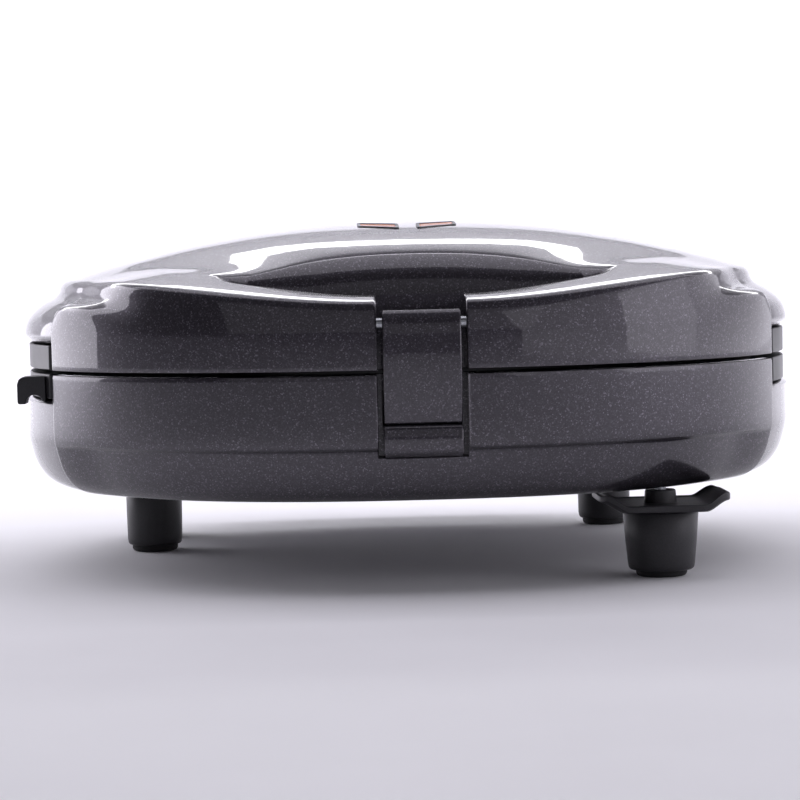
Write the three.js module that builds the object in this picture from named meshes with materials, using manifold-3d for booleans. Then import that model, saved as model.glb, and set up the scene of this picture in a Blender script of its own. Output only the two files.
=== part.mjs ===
// Mini donut maker: a clamshell with two coated baking plates, a finger slot behind the front
// grip, a latch at the front and a hinge at the back.  Millimetres, +Z up, the front faces -Y.
// The worktop is z = 0 and the shells' own centre is x = 0, y = 0.
import * as THREE from 'three';
import { mergeVertices } from 'three/addons/utils/BufferGeometryUtils.js';
import Module from 'manifold-3d';

const wasm = await Module();
wasm.setup();

// ---------------------------------------------------------------- driving dimensions
const GAP = 0.3;                  // between pieces that touch

const CUP_MAJOR = 15.5;           // ring cups: middle of the ring, and half its thickness
const CUP_MINOR = 9;
const CUP_APART = 3;              // between two rings
const CUP_WALL = 2.2;
const PLATE_MARGIN = 5.5;         // from the outer rings to the plate's edge
const PLATE_Y = 14;               // the plates sit behind the middle, clear of the finger slot
const PLATE_T = 2.6;
const PLATE_PROUD = 0.5;          // plate face above its frame's floor edge
const PLATE_SCREW_R = 1.6;
const PLATE_SCREW_HEAD_R = 2.9;
const CUP_PITCH = 2 * (CUP_MAJOR + CUP_MINOR) + CUP_APART;
const PLATE_R = CUP_PITCH + CUP_MAJOR + CUP_MINOR + PLATE_MARGIN;

const RIM_WIDTH = 31.2;           // from the plates' edge to the shells' widest line
const BODY_R = PLATE_R + RIM_WIDTH;   // half width and half depth of the shells
const FRONT_Y = -BODY_R;
const PLAN_POWER = 2.35;          // 2 is a circle, more is squarer
const SEAM_Z = 58.8;              // middle of the parting gap
const SEAM_GAP = 1.2;             // between lid and base
const LID_RISE = 41.2;            // parting line to the top of the dome
const DOME_R = 314;               // radius of the dome's curve
const BODY_BOTTOM = 24;           // underside of the base above the worktop
const WALL = 2.5;                 // moulded wall
const BULGE_FROM_SEAM = 7.8;      // parting line to each shell's lower or upper edge at the sides
const FRAME_INSET = 1.3;          // rim frames stand this far inside the shells' widest line
const GRIP_ANGLE = 59;            // front bands reach this far round, each side of the front
const GRIP_BACK = 3.4;            // thickness of the bands
const LIP_Z = SEAM_Z - 20.2;      // lower edge of the base's front band
const LIP_STEP = 3.4;             // base wall under the band is set back by this

const SLOT_HALF = 46;             // finger slot: half width, tips, front and back
const SLOT_TIP_Y = FRONT_Y + 28.2;
const SLOT_FRONT_Y = FRONT_Y + 15.7;
const SLOT_BACK_Y = FRONT_Y + 31.7;
const SLOT_WALL = 2.2;

const LATCH_W = 20.6;
const LATCH_T = 4.2;
const LATCH_PROUD = 0.7;          // lever's face in front of the bands
const LATCH_FRONT_Y = FRONT_Y - LATCH_PROUD;
const LATCH_BOTTOM = SEAM_Z - 13.5;
const LATCH_PIVOT = { y: FRONT_Y + 4.5, z: SEAM_Z + 12.8 };
const LATCH_LUG_R = 3.4;
const LATCH_SIDE_ROOM = 1.5;      // between the lever and each side of its bay
const RECESS_W = LATCH_W + 2 * LATCH_SIDE_ROOM;
const RECESS_BACK_Y = FRONT_Y + 9.2;
const RECESS_TOP = SEAM_Z + 20.5;
const PIN_R = 1.5;
const PIN_IN_WALL = 1.8;          // length of the pin held in each side of the bay
const CATCH_W = LATCH_W + 0.4;
const CATCH_BOTTOM = LIP_Z - 2;
const SPRING_HALF = 4;            // half the leaf's width
const SPRING_T = 0.6;

const HINGE_Y = BODY_R + 3.1;     // hinge axis behind the shells, at the parting line
const HINGE_X = 52;               // middle of each pair of ears
const EAR_W = 8;
const EAR_R = 5;
const HINGE_PIN_R = 2;

const HEATER_R = CUP_PITCH - 2;
const HEATER_TUBE_R = 3.2;
const SHIELD_R = PLATE_R - 12;
const SHIELD_T = 1;

const FOOT_R = 8.7;
const FOOT_BIG_R = 10.4;
const FOOT_TAPER = 1.2;
const PAD_R = 7;
const PAD_DEPTH = 1.8;
const PAD_SUNK = 1.3;             // height of the pad that sits in the foot
const FOOT_SCREW_R = 1.6;
const FOOT_SCREW_HEAD_R = 3.2;
const FOOT_SCREW_HEAD_Z = PAD_DEPTH + 5.4;
const FOOT_SCREW_BITE = 7.2;      // length of the screw inside the base
const FEET = {
  front_right: { x: BODY_R - 47.2, y: FRONT_Y + 33.2, big: true },
  rear_right: { x: BODY_R - 46.2, y: BODY_R - 50.2, big: false },
  mid_left: { x: 35.2 - BODY_R, y: 17.5, big: false },
  rear_left: { x: 32.6 - BODY_R, y: BODY_R - 52.2, big: false },
};
const CORD_GUIDE = { w: 36, d: 30, t: 2.6, h: 5.4, slotW: 24, corner: 8 };
const BUSH = { x: 0, z: BODY_BOTTOM + 15, bodyR: 5.4, flangeR: 8, bore: 3.6, deep: 8, flangeT: 3 };
const LENS = { inner: 3, outer: 13.8, front: -44, depth: 9, skew: 9, t: 2.4, room: 12 };
const CLIP = { y: -49, d: 8, hook: 2.4 };
const LAMP = { z: SEAM_Z + LID_RISE - 12, r: 2, h: 5.4, boardT: 1.3 };
const FUSE = { r: 2.3, half: 8 };
const THERMOSTAT = { r: 9, h: 5, capR: 6, capH: 3.4 };
const TERMINALS = { x0: 16, x1: 40, fromBack: 29.2, d: 11, h: 7.6 };

const COLORS = {
  shell: 0x2f2d33, frame: 0x232226, plate: 0x2b2a2c, steel: 0xb9bcc0, rubber: 0x19191b,
  satin: 0x26252a, lens: 0xd2761f, heater: 0x8d8f92, ceramic: 0xe8e2d4, zinc: 0xaeb2b6,
  board: 0x6b5a2e, lamp: 0xe8c9a0,
};

// ---------------------------------------------------------------- small helpers
const rad = THREE.MathUtils.degToRad;
const smooth = (from, to, value) => THREE.MathUtils.smoothstep(value, from, to);
const mix = THREE.MathUtils.lerp;
const LID_BOTTOM = SEAM_Z + SEAM_GAP / 2;
const BASE_TOP = SEAM_Z - SEAM_GAP / 2;
const LID_TOP = SEAM_Z + LID_RISE;
const LID_EDGE = SEAM_Z + BULGE_FROM_SEAM;
const BASE_EDGE = SEAM_Z - BULGE_FROM_SEAM;
const FRAME_R = BODY_R - FRAME_INSET;

/** How much further out the plan reaches at an angle from the front than it does straight ahead. */
function planScale(angle) {
  const s = Math.abs(Math.sin(angle)) ** PLAN_POWER;
  const c = Math.abs(Math.cos(angle)) ** PLAN_POWER;
  return (s + c) ** (-1 / PLAN_POWER);
}

/** A point of the plan: radius r at the axes, angle measured from the front towards +X. */
function planPoint(r, angle) {
  const k = r * planScale(angle);
  return [k * Math.sin(angle), -k * Math.cos(angle)];
}

/** How far back from the middle the plan reaches at a given x, on the outline of radius r. */
function planDepth(r, x) {
  return r * (1 - Math.abs(x / r) ** PLAN_POWER) ** (1 / PLAN_POWER);
}

function solid(geometry) {
  const bare = geometry.clone();
  bare.deleteAttribute('normal');
  bare.deleteAttribute('uv');
  const merged = mergeVertices(bare, 1e-4);
  return new wasm.Manifold(new wasm.Mesh({
    numProp: 3,
    vertProperties: Float32Array.from(merged.attributes.position.array),
    triVerts: Uint32Array.from(merged.index.array),
  }));
}

function geometryOf(body) {
  const mesh = body.getMesh();
  const geometry = new THREE.BufferGeometry();
  geometry.setAttribute('position', new THREE.BufferAttribute(new Float32Array(mesh.vertProperties), 3));
  geometry.setIndex(new THREE.BufferAttribute(new Uint32Array(mesh.triVerts), 1));
  geometry.computeVertexNormals();
  return geometry;
}

/** Upright prism of a closed outline, from z0 to z1. */
function prism(shape, z0, z1, curveSegments = 12) {
  const geometry = new THREE.ExtrudeGeometry(shape, { depth: z1 - z0, bevelEnabled: false, curveSegments });
  geometry.translate(0, 0, z0);
  return geometry;
}

function outline(points) {
  return new THREE.Shape(points.map(([x, y]) => new THREE.Vector2(x, y)));
}

/** Outline in the Y-Z plane, extruded along X between x0 and x1. */
function sidePrism(shape, x0, x1, curveSegments = 12) {
  const geometry = new THREE.ExtrudeGeometry(shape, { depth: x1 - x0, bevelEnabled: false, curveSegments });
  geometry.rotateX(Math.PI / 2);
  geometry.rotateZ(Math.PI / 2);
  geometry.translate(x0, 0, 0);
  return geometry;
}

function upright(r, z0, z1, x = 0, y = 0, segments = 24, rTop = r) {
  const geometry = new THREE.CylinderGeometry(rTop, r, z1 - z0, segments);
  geometry.rotateX(Math.PI / 2);
  geometry.translate(x, y, (z0 + z1) / 2);
  return geometry;
}

function alongX(r, x0, x1, y, z, segments = 20) {
  const geometry = new THREE.CylinderGeometry(r, r, x1 - x0, segments);
  geometry.rotateZ(Math.PI / 2);
  geometry.translate((x0 + x1) / 2, y, z);
  return geometry;
}

function alongY(r, y0, y1, x, z, segments = 20) {
  const geometry = new THREE.CylinderGeometry(r, r, y1 - y0, segments);
  geometry.translate(x, (y0 + y1) / 2, z);
  return geometry;
}

function block(x0, x1, y0, y1, z0, z1) {
  const geometry = new THREE.BoxGeometry(x1 - x0, y1 - y0, z1 - z0);
  geometry.translate((x0 + x1) / 2, (y0 + y1) / 2, (z0 + z1) / 2);
  return geometry;
}

/** Body of revolution about the vertical through (x, y), from [radius, z] points listed upwards. */
function turned(points, x = 0, y = 0, segments = 32) {
  const geometry = new THREE.LatheGeometry(points.map(([r, z]) => new THREE.Vector2(r, z)), segments);
  geometry.rotateX(Math.PI / 2);
  geometry.translate(x, y, 0);
  return geometry;
}

/** Closed body whose section [radius, z], listed from the bottom pole to the top pole, changes
 *  with the angle round the plan. */
function sweptRound(sectionAt, segments = 40) {
  const positions = [];
  const index = [];
  const rows = sectionAt(0).length;
  const inner = rows - 2;
  for (let j = 0; j < segments; j += 1) {
    const angle = (2 * Math.PI * j) / segments;
    const section = sectionAt(angle > Math.PI ? angle - 2 * Math.PI : angle);
    for (let i = 1; i <= inner; i += 1) {
      const [x, y] = planPoint(section[i][0], angle);
      positions.push(x, y, section[i][1]);
    }
  }
  const bottom = positions.length / 3;
  positions.push(0, 0, sectionAt(0)[0][1]);
  positions.push(0, 0, sectionAt(0)[rows - 1][1]);
  for (let j = 0; j < segments; j += 1) {
    const here = j * inner;
    const next = ((j + 1) % segments) * inner;
    index.push(bottom, next, here);
    index.push(bottom + 1, here + inner - 1, next + inner - 1);
    for (let i = 0; i < inner - 1; i += 1) {
      index.push(here + i, next + i, next + i + 1);
      index.push(here + i, next + i + 1, here + i + 1);
    }
  }
  const geometry = new THREE.BufferGeometry();
  geometry.setAttribute('position', new THREE.BufferAttribute(new Float32Array(positions), 3));
  geometry.setIndex(index);
  return geometry;
}

/** Band of the plan between two radii, over an angle each side of the front. */
function frontBand(rOut, rIn, halfAngle, z0, z1, steps = 18) {
  const points = [];
  for (let i = 0; i <= steps; i += 1) {
    points.push(planPoint(rOut, mix(-halfAngle, halfAngle, i / steps)));
  }
  for (let i = steps; i >= 0; i -= 1) {
    points.push(planPoint(rIn, mix(-halfAngle, halfAngle, i / steps)));
  }
  return prism(outline(points), z0, z1);
}

/** Whole plan outline of one radius, as a prism. */
function planPrism(r, z0, z1, segments = 40) {
  const points = [];
  for (let i = 0; i < segments; i += 1) {
    points.push(planPoint(r, (2 * Math.PI * i) / segments));
  }
  return prism(outline(points), z0, z1);
}

/** Plan outline that steps inwards behind the front band. */
function steppedPlanPrism(r, rFront, halfAngle, z0, z1, segments = 60) {
  const points = [];
  for (let i = 0; i < segments; i += 1) {
    const angle = -Math.PI + (2 * Math.PI * i) / segments;
    points.push(planPoint(Math.abs(angle) < halfAngle ? rFront : r, angle));
  }
  return prism(outline(points), z0, z1);
}

// ---------------------------------------------------------------- sections of the two shells
const crestR = (angle) => mix(BODY_R - 2.4, BODY_R - 11.2, smooth(rad(40), rad(68), Math.abs(angle)));
const crestZ = (angle) => SEAM_Z + mix(18.4, 24.8, smooth(rad(6), rad(50), Math.abs(angle)));
const domeZ = (r, down = 0) => LID_TOP - down - (r * r) / (2 * DOME_R);

/** Lid's outer section at an angle from the front, bottom pole first. */
function lidSection(angle) {
  const side = smooth(rad(42), rad(66), Math.abs(angle));
  const r = crestR(angle);
  const z = crestZ(angle);
  const drop = z - (SEAM_Z + 11.2);
  return [
    [0, LID_EDGE],
    [FRAME_R - 1, LID_EDGE],
    [BODY_R - 0.9, LID_EDGE + 0.6],
    [BODY_R, SEAM_Z + 11.2],
    [mix(r + 1.9, BODY_R - 1.2, side), mix(z - drop * 0.62, SEAM_Z + 14.9, side)],
    [mix(r + 1.3, BODY_R - 5.4, side), mix(z - drop * 0.32, SEAM_Z + 18.6, side)],
    [mix(r + 0.6, r + 1.1, side), mix(z - drop * 0.1, SEAM_Z + 20.7, side)],
    [r, z],
    [r - 5, mix(z + 1.1, domeZ(r - 5), side)],
    [r - 15.5, mix(z + 2.6, domeZ(r - 15.5), side)],
    [82, domeZ(82, mix(2, 0, side))],
    [62, domeZ(62)],
    [36, domeZ(36)],
    [0, LID_TOP],
  ];
}

/** Inside of the lid: the same form, one wall in. */
function lidInnerSection(angle) {
  const side = smooth(rad(42), rad(66), Math.abs(angle));
  const r = crestR(angle) - WALL;
  const z = crestZ(angle) - WALL;
  return [
    [0, LID_EDGE - 1],
    [BODY_R - WALL - 1.2, LID_EDGE - 1],
    [BODY_R - WALL, SEAM_Z + 11],
    [mix(r + 1, BODY_R - WALL - 4.2, side), mix(z - 4, SEAM_Z + 15.6, side)],
    [r, z],
    [r - 12, mix(z + 1.8, domeZ(r - 12, WALL), side)],
    [78, domeZ(78, WALL + mix(2, 0, side))],
    [40, domeZ(40, WALL)],
    [0, LID_TOP - WALL],
  ];
}

/** Base's outer section, bottom pole first. */
function baseSection(angle) {
  const front = 1 - smooth(rad(50), rad(62), Math.abs(angle));
  const back = LIP_STEP * front;
  return [
    [0, BODY_BOTTOM],
    [BODY_R - 12 - back * 0.4, BODY_BOTTOM],
    [BODY_R - 6.5 - back * 0.8, BODY_BOTTOM + 2.4],
    [BODY_R - 2.5 - back, BODY_BOTTOM + 7],
    [BODY_R - 0.4 - back, BODY_BOTTOM + 12.5],
    [BODY_R, BODY_BOTTOM + 14.6],
    [BODY_R + 0.2, SEAM_Z - 13],
    [BODY_R - 0.3, BASE_EDGE - 1],
    [BODY_R - 1.2, BASE_EDGE],
    [0, BASE_EDGE],
  ];
}

/** Inside of the base, one wall in from the set-back front. */
function baseInnerSection(angle) {
  const front = 1 - smooth(rad(48), rad(64), Math.abs(angle));
  const r = BODY_R - WALL - LIP_STEP * front;
  return [
    [0, BODY_BOTTOM + WALL],
    [r - 11, BODY_BOTTOM + WALL],
    [r - 3, BODY_BOTTOM + 7.5],
    [r - 0.8, BODY_BOTTOM + 13],
    [r, BASE_EDGE + 1],
    [0, BASE_EDGE + 1],
  ];
}

// ---------------------------------------------------------------- features cut in both halves
/** Finger slot's outline, grown by a margin: two shallow arcs that meet at the tips. */
function slotShape(grow = 0) {
  const half = SLOT_HALF + grow * 1.6;
  const front = SLOT_FRONT_Y - grow;
  const back = SLOT_BACK_Y + grow;
  const points = [];
  const steps = 16;
  for (let i = 0; i <= steps; i += 1) {
    const x = mix(-half, half, i / steps);
    points.push([x, SLOT_TIP_Y - 0.6 + (front - SLOT_TIP_Y + 0.6) * (1 - (x / half) ** 2)]);
  }
  for (let i = steps; i >= 0; i -= 1) {
    const x = mix(-half, half, i / steps);
    points.push([x, SLOT_TIP_Y + 0.6 + (back - SLOT_TIP_Y - 0.6) * (1 - (x / half) ** 2)]);
  }
  return outline(points);
}

const cupCentres = [[0, PLATE_Y]];
for (let i = 0; i < 6; i += 1) {
  const angle = rad(60 * i);
  cupCentres.push([CUP_PITCH * Math.cos(angle), PLATE_Y + CUP_PITCH * Math.sin(angle)]);
}
const plateScrewPlaces = [90, 210, 330].map((deg) => {
  const reach = CUP_PITCH / Math.sqrt(3);
  return [reach * Math.cos(rad(deg)), PLATE_Y + reach * Math.sin(rad(deg))];
});

/** Hinge ear: an arm that clears the rim frame and ends in a round eye.  way is 1 up, -1 down. */
function hingeEar(x0, way) {
  const x1 = x0 + EAR_W;
  const reach = planDepth(FRAME_R, Math.min(Math.abs(x0), Math.abs(x1)));
  const edge = SEAM_Z + way * (BULGE_FROM_SEAM + GAP);
  const high = SEAM_Z + way * (BULGE_FROM_SEAM + 6);
  const clear = reach + 1.2;
  const arm = outline([
    [reach - 3, edge], [clear, edge], [clear, SEAM_Z + way * 1.2], [HINGE_Y, SEAM_Z + way * 1.2],
    [HINGE_Y + EAR_R * 0.6, SEAM_Z + way * EAR_R * 0.8], [HINGE_Y - 1, high], [reach - 3, high],
  ]);
  return solid(sidePrism(arm, x0, x1)).add(solid(alongX(EAR_R, x0, x1, HINGE_Y, SEAM_Z, 24)));
}

const earStarts = {
  lid: [-HINGE_X + GAP / 2, HINGE_X - GAP / 2 - EAR_W],
  base: [-HINGE_X - GAP / 2 - EAR_W, HINGE_X + GAP / 2],
};
const hingeBore = (side) => {
  const reach = EAR_W + GAP + 1;
  return solid(alongX(HINGE_PIN_R + GAP, side * HINGE_X - reach, side * HINGE_X + reach, HINGE_Y, SEAM_Z));
};

/** Room for the latch, right through both bands. */
function recess(z0, z1) {
  return solid(block(-RECESS_W / 2, RECESS_W / 2, -BODY_R - 5, RECESS_BACK_Y, z0, z1));
}

/** Walls round the latch bay, before the bay is cut. */
function recessHousing(grow, z0, z1) {
  const half = RECESS_W / 2 + WALL + grow;
  return solid(block(-half, half, -BODY_R - 5, RECESS_BACK_Y + WALL + grow, z0, z1));
}

// ---------------------------------------------------------------- casings
const plateFace = { lid: LID_BOTTOM + PLATE_PROUD, base: BASE_TOP - PLATE_PROUD };
const BOSS_R = 4;
const BOSS_FROM_FACE = 5.6;       // boss end, behind the plate's face
const SCREW_LENGTH = 17;

function screwBosses(way) {
  const face = way > 0 ? plateFace.lid : plateFace.base;
  const near = face + way * BOSS_FROM_FACE;
  const far = way > 0 ? LID_TOP : BODY_BOTTOM + 0.5;
  const [z0, z1] = [Math.min(near, far), Math.max(near, far)];
  const bosses = plateScrewPlaces.map(([x, y]) => solid(upright(BOSS_R, z0, z1, x, y, 14)));
  const pilots = plateScrewPlaces.map(([x, y]) => {
    const end = face + way * (SCREW_LENGTH + 3);
    const [p0, p1] = [Math.min(near - way, end), Math.max(near - way, end)];
    return solid(upright(PLATE_SCREW_R + GAP, p0, p1, x, y, 12));
  });
  return { bosses, pilots };
}

function lensShape(side, shrink = 0) {
  const inner = side * (LENS.inner + shrink);
  const outer = side * (LENS.outer - shrink);
  const front = LENS.front + shrink;
  const depth = LENS.depth - 2 * shrink;
  return outline([
    [inner, front], [outer, front + LENS.skew], [outer, front + LENS.skew + depth], [inner, front + depth],
  ]);
}

function lidShell() {
  const outer = solid(sweptRound(lidSection));
  const skirt = solid(frontBand(BODY_R, BODY_R - GRIP_BACK, rad(GRIP_ANGLE), LID_BOTTOM, LID_EDGE + 3));
  const bayRoom = outer.add(solid(planPrism(BODY_R - 0.2, LID_BOTTOM, LID_EDGE + 3)));
  let body = outer.add(skirt).subtract(solid(sweptRound(lidInnerSection)));
  body = body.add(solid(prism(slotShape(SLOT_WALL), LID_EDGE, LID_TOP)).intersect(outer));
  body = body.add(recessHousing(0, LID_BOTTOM, RECESS_TOP + WALL).intersect(bayRoom));
  const { bosses, pilots } = screwBosses(1);
  bosses.forEach((boss) => { body = body.add(boss.intersect(outer)); });
  earStarts.lid.forEach((x0) => { body = body.add(hingeEar(x0, 1)); });
  body = body.subtract(solid(prism(slotShape(), SEAM_Z, LID_TOP)));
  body = body.subtract(recess(SEAM_Z, RECESS_TOP));
  pilots.forEach((pilot) => { body = body.subtract(pilot); });
  [-1, 1].forEach((side) => {
    body = body.subtract(solid(prism(lensShape(side), LID_TOP - LENS.room, LID_TOP + 1)));
    body = body.subtract(hingeBore(side));
  });
  const pinReach = RECESS_W / 2 + WALL - 0.3;
  return body.subtract(solid(alongX(PIN_R + GAP, -pinReach, pinReach, LATCH_PIVOT.y, LATCH_PIVOT.z, 16)));
}

function baseShell() {
  const outer = solid(sweptRound(baseSection));
  const skirt = solid(frontBand(BODY_R, BODY_R - LIP_STEP - GRIP_BACK, rad(GRIP_ANGLE), LIP_Z, BASE_TOP));
  let body = outer.subtract(solid(sweptRound(baseInnerSection))).add(skirt);
  body = body.add(recessHousing(0, LIP_Z, BASE_TOP).intersect(solid(planPrism(BODY_R, LIP_Z, BASE_TOP))));
  const { bosses, pilots } = screwBosses(-1);
  bosses.forEach((boss) => { body = body.add(boss); });
  earStarts.base.forEach((x0) => { body = body.add(hingeEar(x0, -1)); });
  Object.values(FEET).forEach(({ x, y }) => {
    body = body.add(solid(upright(BOSS_R, BODY_BOTTOM + 1, BODY_BOTTOM + 11, x, y, 14)));
    body = body.subtract(solid(upright(FOOT_SCREW_R + GAP, BODY_BOTTOM - 1, BODY_BOTTOM + 9.5, x, y, 12)));
  });
  body = body.subtract(recess(CATCH_BOTTOM - GAP, BASE_TOP + 1));
  pilots.forEach((pilot) => { body = body.subtract(pilot); });
  [-1, 1].forEach((side) => { body = body.subtract(hingeBore(side)); });
  return body.subtract(solid(alongY(BUSH.bodyR + GAP, BODY_R - 12, BODY_R + 4, BUSH.x, BUSH.z)));
}

/** Inner rim of one half: a shallow tray round the baking plate.  way is 1 for the lid. */
function rimFrame(way) {
  const seam = way > 0 ? LID_BOTTOM : BASE_TOP;
  const back = SEAM_Z + way * (BULGE_FROM_SEAM - GAP);
  const [z0, z1] = [Math.min(seam, back), Math.max(seam, back)];
  const floor = seam + way * WALL;
  const [p0, p1] = way > 0 ? [floor, back + 1] : [back - 1, floor];
  const behindBand = BODY_R - GRIP_BACK - GAP - (way > 0 ? 0 : LIP_STEP);
  const turn = rad(GRIP_ANGLE + 1.5);
  const slab = solid(steppedPlanPrism(FRAME_R, behindBand, turn, z0, z1));
  const plateHole = solid(upright(PLATE_R + GAP, z0 - 1, z1 + 1, 0, PLATE_Y, 48));
  const plateWall = solid(upright(PLATE_R + GAP + WALL, z0 - 2, z1 + 2, 0, PLATE_Y, 48));
  let pocket = solid(steppedPlanPrism(FRAME_R - WALL, behindBand - WALL, turn, p0, p1)).subtract(plateWall);
  let frame = slab;
  if (way > 0) {
    pocket = pocket.subtract(solid(prism(slotShape(SLOT_WALL), p0 - 1, p1 + 1)));
    frame = frame.subtract(solid(prism(slotShape(), z0 - 1, z1 + 1)));
  }
  pocket = pocket.subtract(recessHousing(GAP + WALL, p0 - 1, p1 + 1));
  return frame.subtract(pocket).subtract(plateHole).subtract(recessHousing(GAP, z0 - 1, z1 + 1));
}

// ---------------------------------------------------------------- baking plates and heat
const cupBack = CUP_MINOR + CUP_WALL;

function bakingPlate(way) {
  const face = way > 0 ? plateFace.lid : plateFace.base;
  const back = face + way * PLATE_T;
  const [z0, z1] = [Math.min(face, back), Math.max(face, back)];
  const ring = (x, y) => solid(new THREE.TorusGeometry(CUP_MAJOR, CUP_MINOR, 8, 16).translate(x, y, face));
  const cupEnd = face + way * cupBack;
  const rim = CUP_MAJOR + CUP_MINOR + 1;
  const end = rim - 4.9;
  const cup = (x, y) => {
    const [low, high] = way > 0 ? [rim, end] : [end, rim];
    return solid(upright(low, Math.min(face + way, cupEnd), Math.max(face + way, cupEnd), x, y, 16, high));
  };
  let body = solid(upright(PLATE_R, z0, z1, 0, PLATE_Y, 40));
  cupCentres.forEach(([x, y]) => { body = body.add(cup(x, y)); });
  cupCentres.forEach(([x, y]) => { body = body.subtract(ring(x, y)); });
  plateScrewPlaces.forEach(([x, y]) => {
    body = body.subtract(solid(upright(PLATE_SCREW_R + GAP, z0 - 1, z1 + 1, x, y, 12)));
    const sunk = face + way * 1.5;
    const [s0, s1] = [Math.min(sunk, face - way), Math.max(sunk, face - way)];
    body = body.subtract(solid(upright(PLATE_SCREW_HEAD_R + GAP, s0, s1, x, y, 12)));
  });
  return body;
}

/** Screw from its head end: way is where the point goes, 1 up or -1 down. */
function screw(x, y, headZ, way, headR, shankR, length) {
  const profile = [
    [0, 0], [headR, 0.2], [headR, 1.2], [shankR, 1.4], [shankR, length - 2], [0, length],
  ];
  const geometry = turned(profile, 0, 0, 10);
  if (way < 0) {
    geometry.rotateX(Math.PI);
  }
  geometry.translate(x, y, headZ);
  return geometry;
}

function heaterLoop(way) {
  const face = way > 0 ? plateFace.lid : plateFace.base;
  const z = face + way * (cupBack + GAP + HEATER_TUBE_R);
  const points = [];
  const steps = 24;
  for (let i = 0; i <= steps; i += 1) {
    const angle = rad(mix(104, 436, i / steps));
    points.push(new THREE.Vector3(HEATER_R * Math.cos(angle), PLATE_Y + HEATER_R * Math.sin(angle), z));
  }
  const tube = new THREE.Shape().absarc(0, 0, HEATER_TUBE_R, 0, 2 * Math.PI);
  return new THREE.ExtrudeGeometry(tube, {
    extrudePath: new THREE.CatmullRomCurve3(points), steps: 22, bevelEnabled: false, curveSegments: 3,
  });
}

function heatShield(way) {
  const face = way > 0 ? plateFace.lid : plateFace.base;
  const near = cupBack + GAP * 2 + HEATER_TUBE_R * 2 + 3;
  const far = near + SHIELD_T;
  const rise = 5;
  const profile = [
    [0, near], [SHIELD_R - 1, near], [SHIELD_R + 0.6, near - rise], [SHIELD_R + 1.6, near - rise],
    [SHIELD_R, far], [0, far],
  ];
  const placed = profile.map(([r, depth]) => [r, face + way * depth]);
  let body = solid(turned(way > 0 ? placed : placed.reverse(), 0, PLATE_Y, 28));
  plateScrewPlaces.forEach(([x, y]) => {
    body = body.subtract(solid(upright(BOSS_R + 1, 0, LID_TOP, x, y, 14)));
  });
  return body;
}

// ---------------------------------------------------------------- latch
function latchLever() {
  const { y, z } = LATCH_PIVOT;
  const back = LATCH_FRONT_Y + LATCH_T;
  const side = new THREE.Shape();
  side.moveTo(back, LATCH_BOTTOM);
  side.lineTo(back, LATCH_BOTTOM + 2.2);
  side.lineTo(back + 0.5, LATCH_BOTTOM + 3);
  side.lineTo(back, LATCH_BOTTOM + 4.4);
  side.lineTo(back, z - 5.5);
  side.lineTo(y + LATCH_LUG_R * 0.7, z - LATCH_LUG_R * 0.75);
  side.absarc(y, z, LATCH_LUG_R, -Math.PI / 5, Math.PI / 2, false);
  side.lineTo(LATCH_FRONT_Y + 2, z + LATCH_LUG_R - 0.2);
  side.lineTo(LATCH_FRONT_Y, z + 1);
  side.lineTo(LATCH_FRONT_Y, LATCH_BOTTOM + 4.5);
  side.lineTo(LATCH_FRONT_Y + 1.2, LATCH_BOTTOM);
  side.closePath();
  const lever = solid(sidePrism(side, -LATCH_W / 2, LATCH_W / 2, 6));
  const bore = solid(alongX(PIN_R + GAP, -LATCH_W, LATCH_W, y, z, 16));
  const springRoom = solid(block(-6, 6, back + 0.01, 0, z - 8, z + 8));
  return lever.subtract(bore).subtract(springRoom);
}

function latchCatch() {
  const half = CATCH_W / 2;
  const top = LATCH_BOTTOM - GAP;
  const side = outline([
    [-BODY_R + 0.6, CATCH_BOTTOM], [RECESS_BACK_Y - GAP, CATCH_BOTTOM], [RECESS_BACK_Y - GAP, top + 9],
    [RECESS_BACK_Y - 3.4, top + 9], [LATCH_FRONT_Y + LATCH_T + GAP, top + 7.4],
    [RECESS_BACK_Y - 3.4, top + 5.6], [RECESS_BACK_Y - 3.4, top], [-BODY_R - 0.4, top],
    [-BODY_R - 0.4, CATCH_BOTTOM + 2],
  ]);
  return solid(sidePrism(side, -half, half));
}

/** Leaf spring: flat against the bay's back wall at both ends, bent out to the lever between. */
function latchSpring() {
  const wall = RECESS_BACK_Y - GAP;
  const tip = LATCH_FRONT_Y + LATCH_T + GAP;
  const top = LATCH_PIVOT.z - 5.6;
  const bend = top - 7.5;
  const side = outline([
    [wall, top], [wall, bend + 2.8], [tip + SPRING_T + 0.2, bend], [wall - SPRING_T / 2, bend - 3.1],
    [wall - SPRING_T * 1.5, bend - 3.5], [tip, bend], [wall - SPRING_T, bend + 3.2], [wall - SPRING_T, top],
  ]);
  return sidePrism(side, -SPRING_HALF, SPRING_HALF);
}

// ---------------------------------------------------------------- feet, cord guide and clip
function footPost({ x, y, big }) {
  const top = big ? BODY_BOTTOM - CORD_GUIDE.h - GAP * 2 : BODY_BOTTOM - GAP;
  const rTop = big ? FOOT_BIG_R : FOOT_R;
  const rLow = rTop - (big ? FOOT_TAPER : 0.3);
  const profile = [[0, PAD_DEPTH], [rLow - 1.4, PAD_DEPTH], [rLow, PAD_DEPTH + 1.8], [rTop, top], [0, top]];
  const post = solid(turned(profile, x, y, 20));
  const pocket = solid(upright(PAD_R + GAP, 0, PAD_DEPTH + PAD_SUNK + GAP, x, y, 16));
  const counterbore = solid(upright(FOOT_SCREW_HEAD_R + 0.4, 0, FOOT_SCREW_HEAD_Z + 1.6, x, y, 12));
  const through = solid(upright(FOOT_SCREW_R + GAP, 0, BODY_BOTTOM, x, y, 12));
  return post.subtract(pocket).subtract(counterbore).subtract(through);
}

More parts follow.
